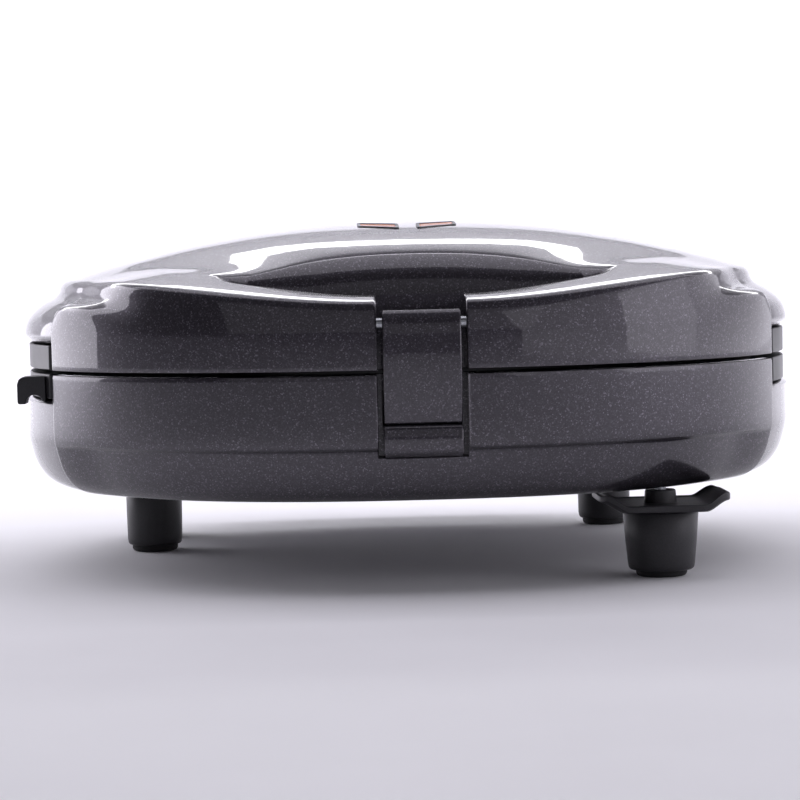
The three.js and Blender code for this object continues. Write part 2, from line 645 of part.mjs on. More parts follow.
function footPad({ x, y }) {
  const top = PAD_DEPTH + PAD_SUNK;
  return turned([[0, 0], [PAD_R - 0.6, 0], [PAD_R, 0.6], [PAD_R, top], [0, top]], x, y, 16);
}

function cordGuide({ x, y }) {
  const { w, d, t, h, slotW, corner: r } = CORD_GUIDE;
  const shape = new THREE.Shape();
  const [x0, x1, y0, y1] = [x - w / 2, x + w / 2, y - d / 2, y + d / 2];
  shape.moveTo(x0 + r, y0);
  shape.lineTo(x1 - r, y0);
  shape.absarc(x1 - r, y0 + r, r, -Math.PI / 2, 0, false);
  shape.lineTo(x1, y1 - r);
  shape.absarc(x1 - r, y1 - r, r, 0, Math.PI / 2, false);
  shape.lineTo(x0 + r, y1);
  shape.absarc(x0 + r, y1 - r, r, Math.PI / 2, Math.PI, false);
  shape.lineTo(x0, y0 + r);
  shape.absarc(x0 + r, y0 + r, r, Math.PI, 1.5 * Math.PI, false);
  const z1 = BODY_BOTTOM - GAP;
  const z0 = z1 - h;
  const plate = solid(prism(shape, z0, z1, 5));
  const slot = solid(block(x - slotW / 2, x + slotW / 2, y - d, y + d, z0 + t, z1 + 1));
  const post = solid(upright(4.4, z0 + t - 0.5, z1, x, y, 14));
  const through = solid(upright(FOOT_SCREW_R + GAP, 0, BODY_BOTTOM, x, y, 12));
  return plate.subtract(slot).add(post).subtract(through);
}

/** Hook on the base's left side: an arm with a downward leg at its outer end. */
function cordClip() {
  const { y, d, hook } = CLIP;
  const out = FRAME_R - GAP;
  const z0 = BASE_EDGE - 1.2;
  const z1 = BASE_TOP - GAP * 2;
  const root = planDepth(FRAME_R, Math.abs(y) + d / 2);
  const body = solid(block(-out, -root + 6, y - d / 2, y + d / 2, z0, z1));
  const arch = solid(block(-out + hook, -root + 8, y - d, y + d, z0 - 1, z0 + 2.2));
  return body.subtract(arch).subtract(solid(planPrism(FRAME_R + GAP, z0 - 1, z1 + 1, 96)));
}

// ---------------------------------------------------------------- small fittings
function lens(side) {
  const outer = solid(sweptRound(lidSection));
  const tile = solid(prism(lensShape(side, GAP), LID_TOP - LENS.room, LID_TOP + 1)).intersect(outer);
  return tile.subtract(outer.translate([0, 0, -LENS.t]));
}

function cordBush() {
  const { x, z, bodyR, flangeR, bore, deep, flangeT } = BUSH;
  const wall = BODY_R + 0.5;
  const body = solid(alongY(bodyR, wall - deep, wall, x, z));
  const flange = solid(alongY(flangeR, wall, wall + flangeT, x, z));
  return body.add(flange).subtract(solid(alongY(bore, wall - deep - 1, wall + flangeT + 1, x, z, 16)));
}

const lampY = LENS.front + (LENS.depth + LENS.skew) / 2;

function lampBoard() {
  const half = LENS.outer + 2.2;
  return block(-half, half, lampY - 7, lampY + 7, LAMP.z - LAMP.boardT - GAP, LAMP.z - GAP);
}

function lamp(side) {
  const { z, r, h } = LAMP;
  const x = (side * (LENS.inner + LENS.outer)) / 2;
  return turned([[0, z], [r, z], [r, z + h * 0.67], [r * 0.6, z + h * 0.93], [0, z + h]], x, lampY, 12);
}

function thermostat() {
  const { r, h, capR, capH } = THERMOSTAT;
  const z = plateFace.lid + cupBack + GAP;
  const top = z + h + capH;
  return turned([[0, z], [r, z], [r, z + h], [capR, z + h + 0.4], [capR, top], [0, top]], 0, PLATE_Y, 24);
}

function thermalFuse() {
  const { r, half } = FUSE;
  return alongX(r, -half, half, PLATE_Y, plateFace.base - cupBack - GAP - r, 14);
}

function terminalBlock() {
  const { x0, x1, fromBack, d, h } = TERMINALS;
  const y = BODY_R - fromBack;
  const z = BODY_BOTTOM + WALL + GAP;
  return block(x0, x1, y, y + d, z, z + h);
}

// ---------------------------------------------------------------- the assembly
const donutMaker = new THREE.Group();

function add(name, shape, color, roughness = 0.5, metalness = 0) {
  const geometry = shape.isBufferGeometry ? shape : geometryOf(shape);
  geometry.computeVertexNormals();
  const mesh = new THREE.Mesh(geometry, new THREE.MeshStandardMaterial({ color, roughness, metalness }));
  mesh.name = name;
  donutMaker.add(mesh);
}

add('lid_shell', lidShell(), COLORS.shell, 0.25);
add('lid_rim_frame', rimFrame(1), COLORS.frame, 0.4);
add('lid_plate', bakingPlate(1), COLORS.plate, 0.45, 0.2);
add('lid_heater', heaterLoop(1), COLORS.heater, 0.4, 0.9);
add('lid_heat_shield', heatShield(1), COLORS.zinc, 0.35, 0.9);
add('base_shell', baseShell(), COLORS.shell, 0.25);
add('base_rim_frame', rimFrame(-1), COLORS.frame, 0.4);
add('base_plate', bakingPlate(-1), COLORS.plate, 0.45, 0.2);
add('base_heater', heaterLoop(-1), COLORS.heater, 0.4, 0.9);
add('base_heat_shield', heatShield(-1), COLORS.zinc, 0.35, 0.9);

plateScrewPlaces.forEach(([x, y], i) => {
  const lidScrew = screw(x, y, plateFace.lid + 0.1, 1, PLATE_SCREW_HEAD_R, PLATE_SCREW_R, SCREW_LENGTH);
  const baseScrew = screw(x, y, plateFace.base - 0.1, -1, PLATE_SCREW_HEAD_R, PLATE_SCREW_R, SCREW_LENGTH);
  add(`lid_plate_screw_${i + 1}`, lidScrew, COLORS.steel, 0.3, 1);
  add(`base_plate_screw_${i + 1}`, baseScrew, COLORS.steel, 0.3, 1);
});

add('latch_lever', latchLever(), COLORS.shell, 0.28);
const pinHalf = RECESS_W / 2 + PIN_IN_WALL;
const latchPin = alongX(PIN_R, -pinHalf, pinHalf, LATCH_PIVOT.y, LATCH_PIVOT.z, 16);
add('latch_pin', latchPin, COLORS.steel, 0.3, 1);
add('latch_spring', latchSpring(), COLORS.steel, 0.35, 1);
add('latch_catch', latchCatch(), COLORS.shell, 0.28);

['left', 'right'].forEach((name, i) => {
  const x = (i * 2 - 1) * HINGE_X;
  const half = EAR_W + GAP / 2 + 0.6;
  const pin = alongX(HINGE_PIN_R, x - half, x + half, HINGE_Y, SEAM_Z, 18);
  add(`hinge_pin_${name}`, pin, COLORS.steel, 0.3, 1);
});

Object.entries(FEET).forEach(([name, foot]) => {
  add(`${name}_foot`, footPost(foot), COLORS.satin, 0.55);
  add(`${name}_pad`, footPad(foot), COLORS.rubber, 0.85);
  const length = BODY_BOTTOM + FOOT_SCREW_BITE - FOOT_SCREW_HEAD_Z;
  const footScrew = screw(foot.x, foot.y, FOOT_SCREW_HEAD_Z, 1, FOOT_SCREW_HEAD_R, FOOT_SCREW_R, length);
  add(`${name}_foot_screw`, footScrew, COLORS.steel, 0.3, 1);
});
add('cord_guide', cordGuide(FEET.front_right), COLORS.satin, 0.5);
add('cord_clip', cordClip(), COLORS.satin, 0.55);
add('cord_bush', cordBush(), COLORS.rubber, 0.8);

add('power_lens', lens(-1), COLORS.lens, 0.2);
add('ready_lens', lens(1), COLORS.lens, 0.2);
add('lamp_board', lampBoard(), COLORS.board, 0.7);
add('power_lamp', lamp(-1), COLORS.lamp, 0.1);
add('ready_lamp', lamp(1), COLORS.lamp, 0.1);
add('thermostat', thermostat(), COLORS.ceramic, 0.6);
add('thermal_fuse', thermalFuse(), COLORS.steel, 0.3, 1);
add('terminal_block', terminalBlock(), COLORS.ceramic, 0.6);

// The worktop point under the middle of the whole object is the origin.
const extent = new THREE.Box3().setFromObject(donutMaker);
const middle = extent.getCenter(new THREE.Vector3());
donutMaker.position.set(-middle.x, -middle.y, -extent.min.z);

export default donutMaker;
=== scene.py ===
# %% [markdown]
# # A ring doughnut maker
# The object is a clamshell: a domed lid and a shallow base, hinged at the back and latched at the
# front, with a coated baking plate in each half. The measured model is loaded as a fixed frame,
# and this lesson builds the skins and finishes around it. Every size below is read from a piece
# of that frame or is a small moulding detail, in millimetres.

import math

import bmesh
import bpy
from mathutils import Matrix, Quaternion, Vector


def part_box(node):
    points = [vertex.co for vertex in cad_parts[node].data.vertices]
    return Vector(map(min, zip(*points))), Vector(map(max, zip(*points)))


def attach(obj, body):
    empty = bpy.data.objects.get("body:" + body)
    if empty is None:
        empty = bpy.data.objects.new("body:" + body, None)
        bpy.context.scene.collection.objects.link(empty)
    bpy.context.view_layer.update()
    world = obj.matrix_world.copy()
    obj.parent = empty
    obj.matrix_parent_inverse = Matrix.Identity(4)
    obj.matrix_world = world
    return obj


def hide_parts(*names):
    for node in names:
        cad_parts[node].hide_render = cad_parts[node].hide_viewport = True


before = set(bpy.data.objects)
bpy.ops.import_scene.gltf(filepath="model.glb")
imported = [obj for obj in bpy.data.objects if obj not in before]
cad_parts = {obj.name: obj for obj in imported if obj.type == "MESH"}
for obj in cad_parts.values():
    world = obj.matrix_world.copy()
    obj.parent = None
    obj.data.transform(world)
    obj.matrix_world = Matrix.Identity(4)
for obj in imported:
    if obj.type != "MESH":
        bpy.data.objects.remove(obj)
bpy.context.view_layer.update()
MM = 0.001

# %% [markdown]
# The shells are drawn about their own centre, where both halves are symmetrical. The hinge ears
# reach further back than the front reaches forward, so that centre lies a little in front of the
# frame's origin. One helper reads a piece's box in the shells' millimetres.

# %% Sizes from the frame
BUSH_PROUD = 3.5
BODY_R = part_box("lid_shell")[1].x / MM
CENTRE_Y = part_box("cord_bush")[1].y / MM - BODY_R - BUSH_PROUD


def span(node):
    """Low and high corner of a piece, in millimetres about the shells' centre."""
    shift = Vector((0, CENTRE_Y, 0))
    a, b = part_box(node)
    return a / MM - shift, b / MM - shift


LID_BOTTOM = span("lid_rim_frame")[0].z
BASE_TOP = span("base_rim_frame")[1].z
SEAM = (LID_BOTTOM + BASE_TOP) / 2
LID_TOP = span("lid_shell")[1].z
BASE_BOTTOM = span("base_shell")[0].z
GAP = 0.3
MERGE = 0.002
LID_EDGE = span("lid_rim_frame")[1].z + GAP
BASE_EDGE = span("base_rim_frame")[0].z - GAP
FRAME_R = BODY_R - 1.3
WALL = 2.5
BAND_T = 3.4
LIP_STEP = 3.4
LIP_Z = span("latch_catch")[0].z + 2
DOME_R = 314
PLAN_POWER = 2.35
BAND_END = math.radians(59)
BAY_HALF = span("latch_lever")[1].x + 1.5
BAY_BACK = span("latch_catch")[1].y + GAP
print(f"shells {2 * BODY_R:.1f} across, {LID_TOP - BASE_BOTTOM:.1f} high, parting line at {SEAM:.1f}")

# %% [markdown]
# ## Small tools
# A smooth step, a mix and a rounded polyline are enough to draw every section. Cutting a
# polyline's corners twice gives a soft curve which never overshoots its own points, and that is
# how a mould maker's fillets look.

# %% Curve tools


def mix(a, b, t):
    return a + (b - a) * t


def smooth(a, b, x):
    t = min(max((x - a) / (b - a), 0), 1)
    return t * t * (3 - 2 * t)


def rounded(points, times=2):
    """Polyline with its corners cut, with both ends kept."""
    for _ in range(times):
        cut = [points[0]]
        for p, q in zip(points, points[1:]):
            cut.append(tuple(mix(a, b, 0.25) for a, b in zip(p, q)))
            cut.append(tuple(mix(a, b, 0.75) for a, b in zip(p, q)))
        points = cut + [points[-1]]
    return points


def through(points, x):
    """Height at x on a smooth curve through points that are listed by rising x."""
    last = len(points) - 1
    i = next((k for k in range(last) if x <= points[k + 1][0]), last - 1)

    def slope(k):
        a, b = points[max(k - 1, 0)], points[min(k + 1, last)]
        return (b[1] - a[1]) / (b[0] - a[0])

    (x0, y0), (x1, y1) = points[i], points[i + 1]
    w = x1 - x0
    t = min(max((x - x0) / w, 0), 1)
    keep = (2 * t**3 - 3 * t**2 + 1) * y0 + (3 * t**2 - 2 * t**3) * y1
    return keep + w * ((t**3 - 2 * t**2 + t) * slope(i) + (t**3 - t**2) * slope(i + 1))


def plan_scale(angle):
    """How much further out the plan reaches at an angle from the front than straight ahead."""
    s, c = abs(math.sin(angle)) ** PLAN_POWER, abs(math.cos(angle)) ** PLAN_POWER
    return (s + c) ** (-1 / PLAN_POWER)


def plan_point(r, angle):
    k = r * plan_scale(angle)
    return Vector((k * math.sin(angle), -k * math.cos(angle)))


# %% [markdown]
# A finished mesh is scaled from millimetres to metres and set in its place, then it rides on a
# body of the frame. Flat shading is kept only across real edges, so the gloss flows over curves.

# %% Finish a piece


def finish_piece(bm, name, body, material, replaces=(), sharp=40, bevel=0.0, segments=2):
    """Turns a bmesh in millimetres into a placed piece."""
    bmesh.ops.transform(bm, matrix=Matrix.Translation((0, CENTRE_Y, 0)), verts=bm.verts)
    bmesh.ops.scale(bm, vec=(MM, MM, MM), verts=bm.verts)
    for face in bm.faces:
        face.smooth = True
        face.material_index = 0
    mesh = bpy.data.meshes.new(name)
    bm.to_mesh(mesh)
    bm.free()
    mesh.set_sharp_from_angle(angle=math.radians(sharp))
    mesh.materials.append(material)
    piece = bpy.data.objects.new(name, mesh)
    bpy.context.scene.collection.objects.link(piece)
    if bevel:
        rounding = piece.modifiers.new("edge rounding", "BEVEL")
        rounding.width = bevel * MM
        rounding.segments = segments
        rounding.limit_method = "ANGLE"
        rounding.angle_limit = math.radians(38)
        rounding.harden_normals = True
    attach(piece, body)
    if replaces:
        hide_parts(*replaces)
    print(f"{name}: {len(mesh.polygons)} faces")


def verts_of(made):
    """Vertices in an operator's result."""
    return [g for g in made["geom"] if isinstance(g, bmesh.types.BMVert)]


def with_edges(faces):
    """Faces with their edges and vertices, as the geometry that a cut works on."""
    edges = list({e for f in faces for e in f.edges})
    return faces + edges + list({v for f in faces for v in f.verts})


def loop(bm, points):
    """Closed ring of edges through points."""
    verts = [bm.verts.new(p) for p in points]
    return [bm.edges.new((a, b)) for a, b in zip(verts, verts[1:] + verts[:1])]


def turned(bm, profile, centre=(0, 0), steps=48, axis=(0, 0, 1), start=(1, 0, 0), at=None):
    """Spins a profile of (radius, height) points once round an axis and closes the seam."""
    axis, start = Vector(axis), Vector(start)
    middle = Vector(at) if at else Vector((*centre, 0))
    verts = [bm.verts.new(middle + start * r + axis * h) for r, h in profile]
    edges = [bm.edges.new(pair) for pair in zip(verts, verts[1:])]
    bmesh.ops.spin(
        bm, geom=verts + edges, cent=middle, axis=axis, angle=math.tau, steps=steps, use_merge=True
    )
    bmesh.ops.remove_doubles(bm, verts=bm.verts, dist=MERGE)


# %% [markdown]
# ## Materials
# Each finish is a small network of nodes. Colours are written as sRGB hex values and one function
# turns them to linear light. One more function adds a node, sets its sockets and links it, so
# every network reads as a list of steps. Patterns use Object coordinates, which are metres here,
# so a pattern's scale is one over its real size.

# %% Material tools


def linear(hex_value):
    """sRGB hex to a linear colour."""
    parts = [(hex_value >> shift & 255) / 255 for shift in (16, 8, 0)]
    return [*(c / 12.92 if c <= 0.04045 else ((c + 0.055) / 1.055) ** 2.4 for c in parts), 1]


def add_node(tree, kind, sockets=None, **settings):
    """Adds one node. sockets maps an input to a value, or to (node, output) for a link."""
    node = tree.nodes.new(kind)
    for key, value in settings.items():
        setattr(node, key, value)
    for key, value in (sockets or {}).items():
        if isinstance(value, tuple) and isinstance(value[0], bpy.types.Node):
            tree.links.new(value[0].outputs[value[1]], node.inputs[key])
        else:
            node.inputs[key].default_value = value
    return node


def new_material(name, **shader):
    """Principled material with its uniform values set on the shader's own sockets."""
    material = bpy.data.materials.new(name)
    material.use_nodes = True
    tree = material.node_tree
    tree.nodes.clear()
    sockets = {key.replace("_", " "): value for key, value in shader.items()}
    surface = add_node(tree, "ShaderNodeBsdfPrincipled", sockets)
    add_node(tree, "ShaderNodeOutputMaterial", {"Surface": (surface, "BSDF")})
    place = add_node(tree, "ShaderNodeTexCoord")
    return material, tree, surface, place


def per_mm(size):
    """Texture scale that gives a feature of this many millimetres."""
    return 1 / (size * MM)


def bump(tree, surface, height, depth_mm, strength=1.0, socket="Normal"):
    """Raises a height pattern on the shader's normal, by a depth in millimetres."""
    raised = add_node(
        tree,
        "ShaderNodeBump",
        {"Strength": strength, "Distance": depth_mm * MM, "Height": height},
    )
    tree.links.new(raised.outputs["Normal"], surface.inputs[socket])


# %% [markdown]
# ### Metallic charcoal ABS under a clear coat
# The shells are injection-moulded ABS, sprayed charcoal with fine aluminium flake and lacquered.
# The lacquer gives mirror-sharp reflections over a softer, grainy sheen from the flake. Real flake
# is about 0.05 mm, too fine to show, so it is drawn at 0.3 mm: random cells lighten the
# colour, and a few bright ones glint. Slow ripples of 9 mm in the coat are its orange peel.

# %% Shell finish


def shell_lacquer():
    material, tree, surface, place = new_material(
        "charcoal_metallic_lacquer_on_abs",
        Metallic=0.7,
        Roughness=0.38,
        IOR=1.5,
        Coat_Weight=1.0,
        Coat_Roughness=0.035,
        Coat_IOR=1.5,
    )
    flake = add_node(
        tree,
        "ShaderNodeTexVoronoi",
        {"Vector": (place, "Object"), "Scale": per_mm(0.3), "Randomness": 1.0},
    )
    pick = add_node(tree, "ShaderNodeSeparateColor", {"Color": (flake, "Color")})
    tone = add_node(tree, "ShaderNodeValToRGB", {"Fac": (pick, "Red")})
    steps = tone.color_ramp
    steps.elements[0].color = linear(0x363339)
    steps.elements[1].color = linear(0x7A7680)
    steps.elements[1].position = 1.0
    steps.elements.new(0.75).color = linear(0x434047)
    steps.elements.new(0.93).color = linear(0x57535B)
    tree.links.new(tone.outputs["Color"], surface.inputs["Base Color"])
    peel = add_node(
        tree,
        "ShaderNodeTexNoise",
        {"Vector": (place, "Object"), "Scale": per_mm(9), "Detail": 1.0, "Roughness": 0.4},
    )
    bump(tree, surface, (peel, "Fac"), 0.02, socket="Coat Normal")
    grain = add_node(
        tree,
        "ShaderNodeTexNoise",
        {"Vector": (place, "Object"), "Scale": per_mm(0.5), "Detail": 2.0},
    )
    bump(tree, surface, (grain, "Fac"), 0.012)
    return material


LACQUER = shell_lacquer()
print("finish:", LACQUER.name)

# %% [markdown]
# ### Textured black plastics, rubber and coatings
# The frames, feet and clips are moulded in black nylon in a spark-eroded mould, so they have a
# fine even grain of about 0.4 mm and a satin shine. The soles and the cord bush are rubber,
# which is duller with a soft bloom. The plates are cast aluminium with a sprayed non-stick coat,
# slightly speckled. One function makes this family, since only the numbers differ.

# %% Grained finishes


def grained(name, dark, light, roughness, grain_mm, depth_mm, spread=0.08, **more):
    """Dull moulded or sprayed finish: two close tones, and one grain for tone, gloss and relief."""
    material, tree, surface, place = new_material(name, Roughness=roughness, **more)
    fine = add_node(
        tree,
        "ShaderNodeTexNoise",
        {"Vector": (place, "Object"), "Scale": per_mm(grain_mm), "Detail": 3.0, "Roughness": 0.6},
    )
    tone = add_node(tree, "ShaderNodeValToRGB", {"Fac": (fine, "Fac")})
    tone.color_ramp.elements[0].color = linear(dark)
    tone.color_ramp.elements[1].color = linear(light)
    tone.color_ramp.elements[0].position = 0.3
    tone.color_ramp.elements[1].position = 0.7
    tree.links.new(tone.outputs["Color"], surface.inputs["Base Color"])
    cloud = add_node(
        tree,
        "ShaderNodeTexNoise",
        {"Vector": (place, "Object"), "Scale": per_mm(14), "Detail": 2.0},
    )
    gloss = add_node(
        tree,
        "ShaderNodeMapRange",
        {"Value": (cloud, "Fac"), "To Min": roughness - spread, "To Max": roughness + spread},
    )
    tree.links.new(gloss.outputs["Result"], surface.inputs["Roughness"])
    bump(tree, surface, (fine, "Fac"), depth_mm)
    return material


SATIN = grained("spark_textured_black_nylon", 0x161518, 0x242328, 0.42, 0.4, 0.03, IOR=1.53)
FRAME_PLASTIC = grained("moulded_black_phenolic_frame", 0x19181B, 0x232226, 0.36, 0.7, 0.015, IOR=1.55)
RUBBER = grained("moulded_black_rubber", 0x121213, 0x1E1E20, 0.78, 0.5, 0.03, IOR=1.52)
COATING = grained("nonstick_coating_on_cast_aluminium", 0x1D1D1E, 0x38383A, 0.38, 0.6, 0.012, IOR=1.42)
CERAMIC = grained("pressed_steatite_ceramic", 0xD8D2C2, 0xEAE5D8, 0.6, 0.9, 0.02, IOR=1.6)
BOARD = grained("phenolic_paper_laminate", 0x5E4A22, 0x7A6432, 0.55, 0.6, 0.01, IOR=1.5)
ZINC = grained("zinc_plated_steel", 0xA9ACB0, 0xC3C6CA, 0.3, 0.8, 0.006, Metallic=1.0)
SHEET = grained("rolled_aluminium_sheet", 0xBEC0C3, 0xD2D4D6, 0.34, 1.6, 0.008, Metallic=1.0)
TUBE_STEEL = grained("oxide_darkened_heater_tube", 0x5E5E60, 0x8A898A, 0.44, 1.2, 0.01, Metallic=1.0)
print("finishes:", len(bpy.data.materials))

# %% [markdown]
# ### Amber polycarbonate
# The windows are tinted, translucent polycarbonate over a lamp. Light enters and leaves through
# the same face, so a share of transmission with a soft inner scatter gives the warm, slightly
# milky orange. The lamps below are clear glass with a faint tint.

# %% Clear finishes


def tinted_clear(name, tint, transmission, roughness, ior, scatter=0.0):
    material, tree, surface, place = new_material(
        name,
        Roughness=roughness,
        IOR=ior,
        Transmission_Weight=transmission,
        Subsurface_Weight=scatter,
        Subsurface_Scale=0.002,
    )
    swirl = add_node(
        tree,
        "ShaderNodeTexNoise",
        {"Vector": (place, "Object"), "Scale": per_mm(3), "Detail": 1.0},
    )
    tone = add_node(tree, "ShaderNodeValToRGB", {"Fac": (swirl, "Fac")})
    tone.color_ramp.elements[0].color = linear(tint[0])
    tone.color_ramp.elements[1].color = linear(tint[1])
    tree.links.new(tone.outputs["Color"], surface.inputs["Base Color"])
    return material


AMBER = tinted_clear("amber_polycarbonate", (0xC9551B, 0xEE8A44), 0.15, 0.18, 1.58, 0.4)
GLASS = tinted_clear("clear_lamp_glass", (0xF2E2CC, 0xFFF3E2), 0.9, 0.05, 1.5)
print("clear finishes:", AMBER.name, GLASS.name)

# %% [markdown]
# ## Section of the lid
# The lid's section changes as it goes round. At the front a tall band ends in a soft crest and the
# top sinks behind it to a finger slot. At the sides the band stops, a rounded bulge takes over,
# and a hollow separates it from the dome. So the section is a function of the angle: rows of
# points that always come in the same number.

# %% Lid section


def dome_z(r):
    return LID_TOP - r * r / (2 * DOME_R)


def crest(angle):
    """Radius and height of the edge between band and top."""
    r = mix(BODY_R - 2.4, BODY_R - 11.2, smooth(math.radians(38), math.radians(61), angle))
    z = SEAM + mix(18.4, 24.8, smooth(math.radians(6), math.radians(50), angle))
    return r, z


def sideness(angle):
    return smooth(math.radians(42), math.radians(66), angle)


def past_band(angle):
    """0 along the front band and 1 past its end."""
    return smooth(BAND_END - 0.009, BAND_END + 0.009, angle)


def set_back(angle):
    """The sides start just behind the band's end face and swell out again."""
    return 0.9 * past_band(angle) * (1 - smooth(BAND_END + 0.05, BAND_END + 0.42, angle))


def top_z(r, angle):
    """Height of the lid's top at plan radius r."""
    side = sideness(angle)
    rc, zc = crest(angle)
    points = [(0, LID_TOP), (36, dome_z(36)), (62, dome_z(62)), (82, dome_z(82) - mix(2, 0, side))]
    points += [
        (rc - 15.5, mix(zc + 2.6, dome_z(rc - 15.5), side)),
        (rc - 5, mix(zc + 1.1, dome_z(rc - 5), side)),
        (rc, zc),
    ]
    return through(points, r)


def lid_face(angle):
    """Outer face from the bottom lip up to the top, as (plan radius, height) rows."""
    side, end = smooth(math.radians(36), math.radians(51), angle), past_band(angle)
    bulge = smooth(math.radians(56.5), math.radians(59.8), angle)
    r, z = crest(angle)
    drop = z - (SEAM + 11.2)
    out = BODY_R - set_back(angle)

    def blend(front, shelf, swell):
        """One row: at the front, on the shelf behind the band's end, and on the side's bulge."""
        return tuple(mix(mix(f, s, side), w, bulge) for f, s, w in zip(front, shelf, swell))

    foot = mix(LID_BOTTOM, LID_EDGE, end)
    lip = [
        (mix(BODY_R - BAND_T, out - 3.4, end), foot + 1.2),
        (mix(BODY_R - BAND_T, out - 3.4, end), foot + 0.4),
        (mix(BODY_R - BAND_T + 0.4, out - 3.0, end), foot),
        (mix(out - 0.7, out - 2.2, end), foot),
        (mix(out - 0.1, out - 0.9, end), foot + mix(0.12, 0.5, end)),
        (mix(out, out - 0.5, end), foot + mix(0.8, 1.2, end)),
    ]
    climb = [
        (out, SEAM + 9.4),
        blend((out, SEAM + 11.2), (out, SEAM + 15.2), (out, SEAM + 11.2)),
        blend((r + 1.9, z - drop * 0.62), (out - 0.3, SEAM + 17.6), (out - 1.2, SEAM + 14.9)),
        blend((r + 1.3, z - drop * 0.32), (out - 2.2, SEAM + 18.9), (out - 5.4, SEAM + 18.6)),
        blend((r + 0.6, z - drop * 0.1), (r + 1.5, SEAM + 19.7), (r + 1.1, SEAM + 20.7)),
        (r, z),
        (r - 3.5, top_z(r - 3.5, angle)),
        (r - 6, top_z(r - 6, angle)),
    ]
    return lip + rounded([lip[-1], *climb], 2)[1:]


print("lid face rows:", len(lid_face(0)))

# %% [markdown]
# ## The finger slot
# Fingers go in behind the band to lift the lid. The slot is a flat D with soft rims, deeper behind
# than in front. Cutting it with a boolean would leave ragged rims on a glossy surface. Here two
# rows of the shell's own net are pulled apart to the slot's outline, the faces between them are
# removed, and the rows next to them follow the outline at set distances, so the rim can dip in a
# clean quarter round.

# %% Slot outline
SLOT_HALF = 46
SLOT_TIP_Y = -(BODY_R - 28.2)
SLOT_FRONT_Y = -(BODY_R - 15.7)
SLOT_BACK_Y = -(BODY_R - 31.7)
SLOT_WALL = 2.2
TIP_ANGLE = math.atan2(SLOT_HALF, -SLOT_TIP_Y)
RIM_BEHIND = [0, 0.25, 0.7, 1.4, 2.3, 3.4, 4.8, 6.6, 9, 13]
RIM_BEFORE = [0, 0.25, 0.7, 1.3, 2.1, 3.1, 4.4]
INNER_ROWS = [0.93, 0.84, 0.72, 0.58, 0.42, 0.26, 0.12]


def slot_edge(angle, way, grow=0.0):
    """Point on the slot's rim in this direction. way is 1 in front and -1 behind."""
    along = angle / TIP_ANGLE
    bearing = Vector((math.sin(angle), -math.cos(angle)))
    if abs(along) < 1:
        x = SLOT_HALF * along
        far = SLOT_FRONT_Y if way > 0 else SLOT_BACK_Y
        tip = SLOT_TIP_Y - way * 0.6
        edge = Vector((x, tip + (far - tip) * (1 - along * along)))
        return edge + bearing * way * grow
    tip_r = Vector((SLOT_HALF, SLOT_TIP_Y)).length / plan_scale(TIP_ANGLE)
    r = mix(tip_r, tip_r - 8.5, smooth(TIP_ANGLE, 2.2 * TIP_ANGLE, abs(angle)))
    return plan_point(r + way * (0.6 + grow), angle)


def rim_dip(angle, distance, way):
    """How far the top dips at a distance from the slot's rim: a quarter round, fading at the tips."""
    along = abs(angle) / TIP_ANGLE
    past_tip = max(along - 1, 0) * SLOT_HALF
    soft = mix(8.5 if way < 0 else 3.4, 4.3, smooth(0.6, 1.0, along))
    if distance >= soft:
        return 0
    fade = 1 - smooth(-3, 10, past_tip)
    return fade * (soft - math.sqrt(soft**2 - (soft - distance) ** 2))


def slot_rows(angle, dips, grow):
    """Rows on the top from the face's end inwards, as points in space."""
    rows = []
    for way, steps in ((1, reversed(RIM_BEFORE)), (-1, RIM_BEHIND)):
        for step in steps:
            bearing = Vector((math.sin(angle), -math.cos(angle)))
            spot = slot_edge(angle, way, grow) + bearing * way * step
            turn = math.atan2(spot.x, -spot.y)
            r = spot.length / plan_scale(turn)
            z = top_z(r, abs(turn)) - (rim_dip(angle, step, way) if dips else WALL)
            rows.append(Vector((spot.x, spot.y, z)))
    last = rows[-1]
    for share in INNER_ROWS:
        spot = Vector((last.x, last.y)) * share
        turn = math.atan2(spot.x, -spot.y)
        r = spot.length / plan_scale(turn)
        rows.append(Vector((spot.x, spot.y, top_z(r, abs(turn)) - (0 if dips else WALL))))
    return rows


print(f"slot: {2 * SLOT_HALF} wide, tips at {math.degrees(TIP_ANGLE):.1f} degrees")

# %% [markdown]
# ## Spinning a shell
# A shell starts as one chain of vertices, outer skin first and then the inner skin, and is spun
# once round. Each vertex keeps its row number in a layer, so after the spin it can be moved to
# the place that its row and its direction ask for. The columns aren't evenly spread: they
# crowd at the band's ends and at the slot's tips, where the shape turns quickly.

# %% Columns and the spun net


def column_angles():
    angles = {round(k * math.tau / 224 - math.pi, 6) for k in range(224)}
    crowded = [BAND_END + k * 0.0045 for k in range(-3, 4)]
    crowded += [TIP_ANGLE * k for k in (0.9, 0.94, 0.97, 0.99, 1.0, 1.01, 1.03, 1.06, 1.1)]
    for spot in crowded:
        for side in (-1, 1):
            angles = {a for a in angles if abs(a - side * spot) > 0.0034}
            angles.add(round(side * spot, 6))
    return sorted(angles)


COLUMNS = column_angles()


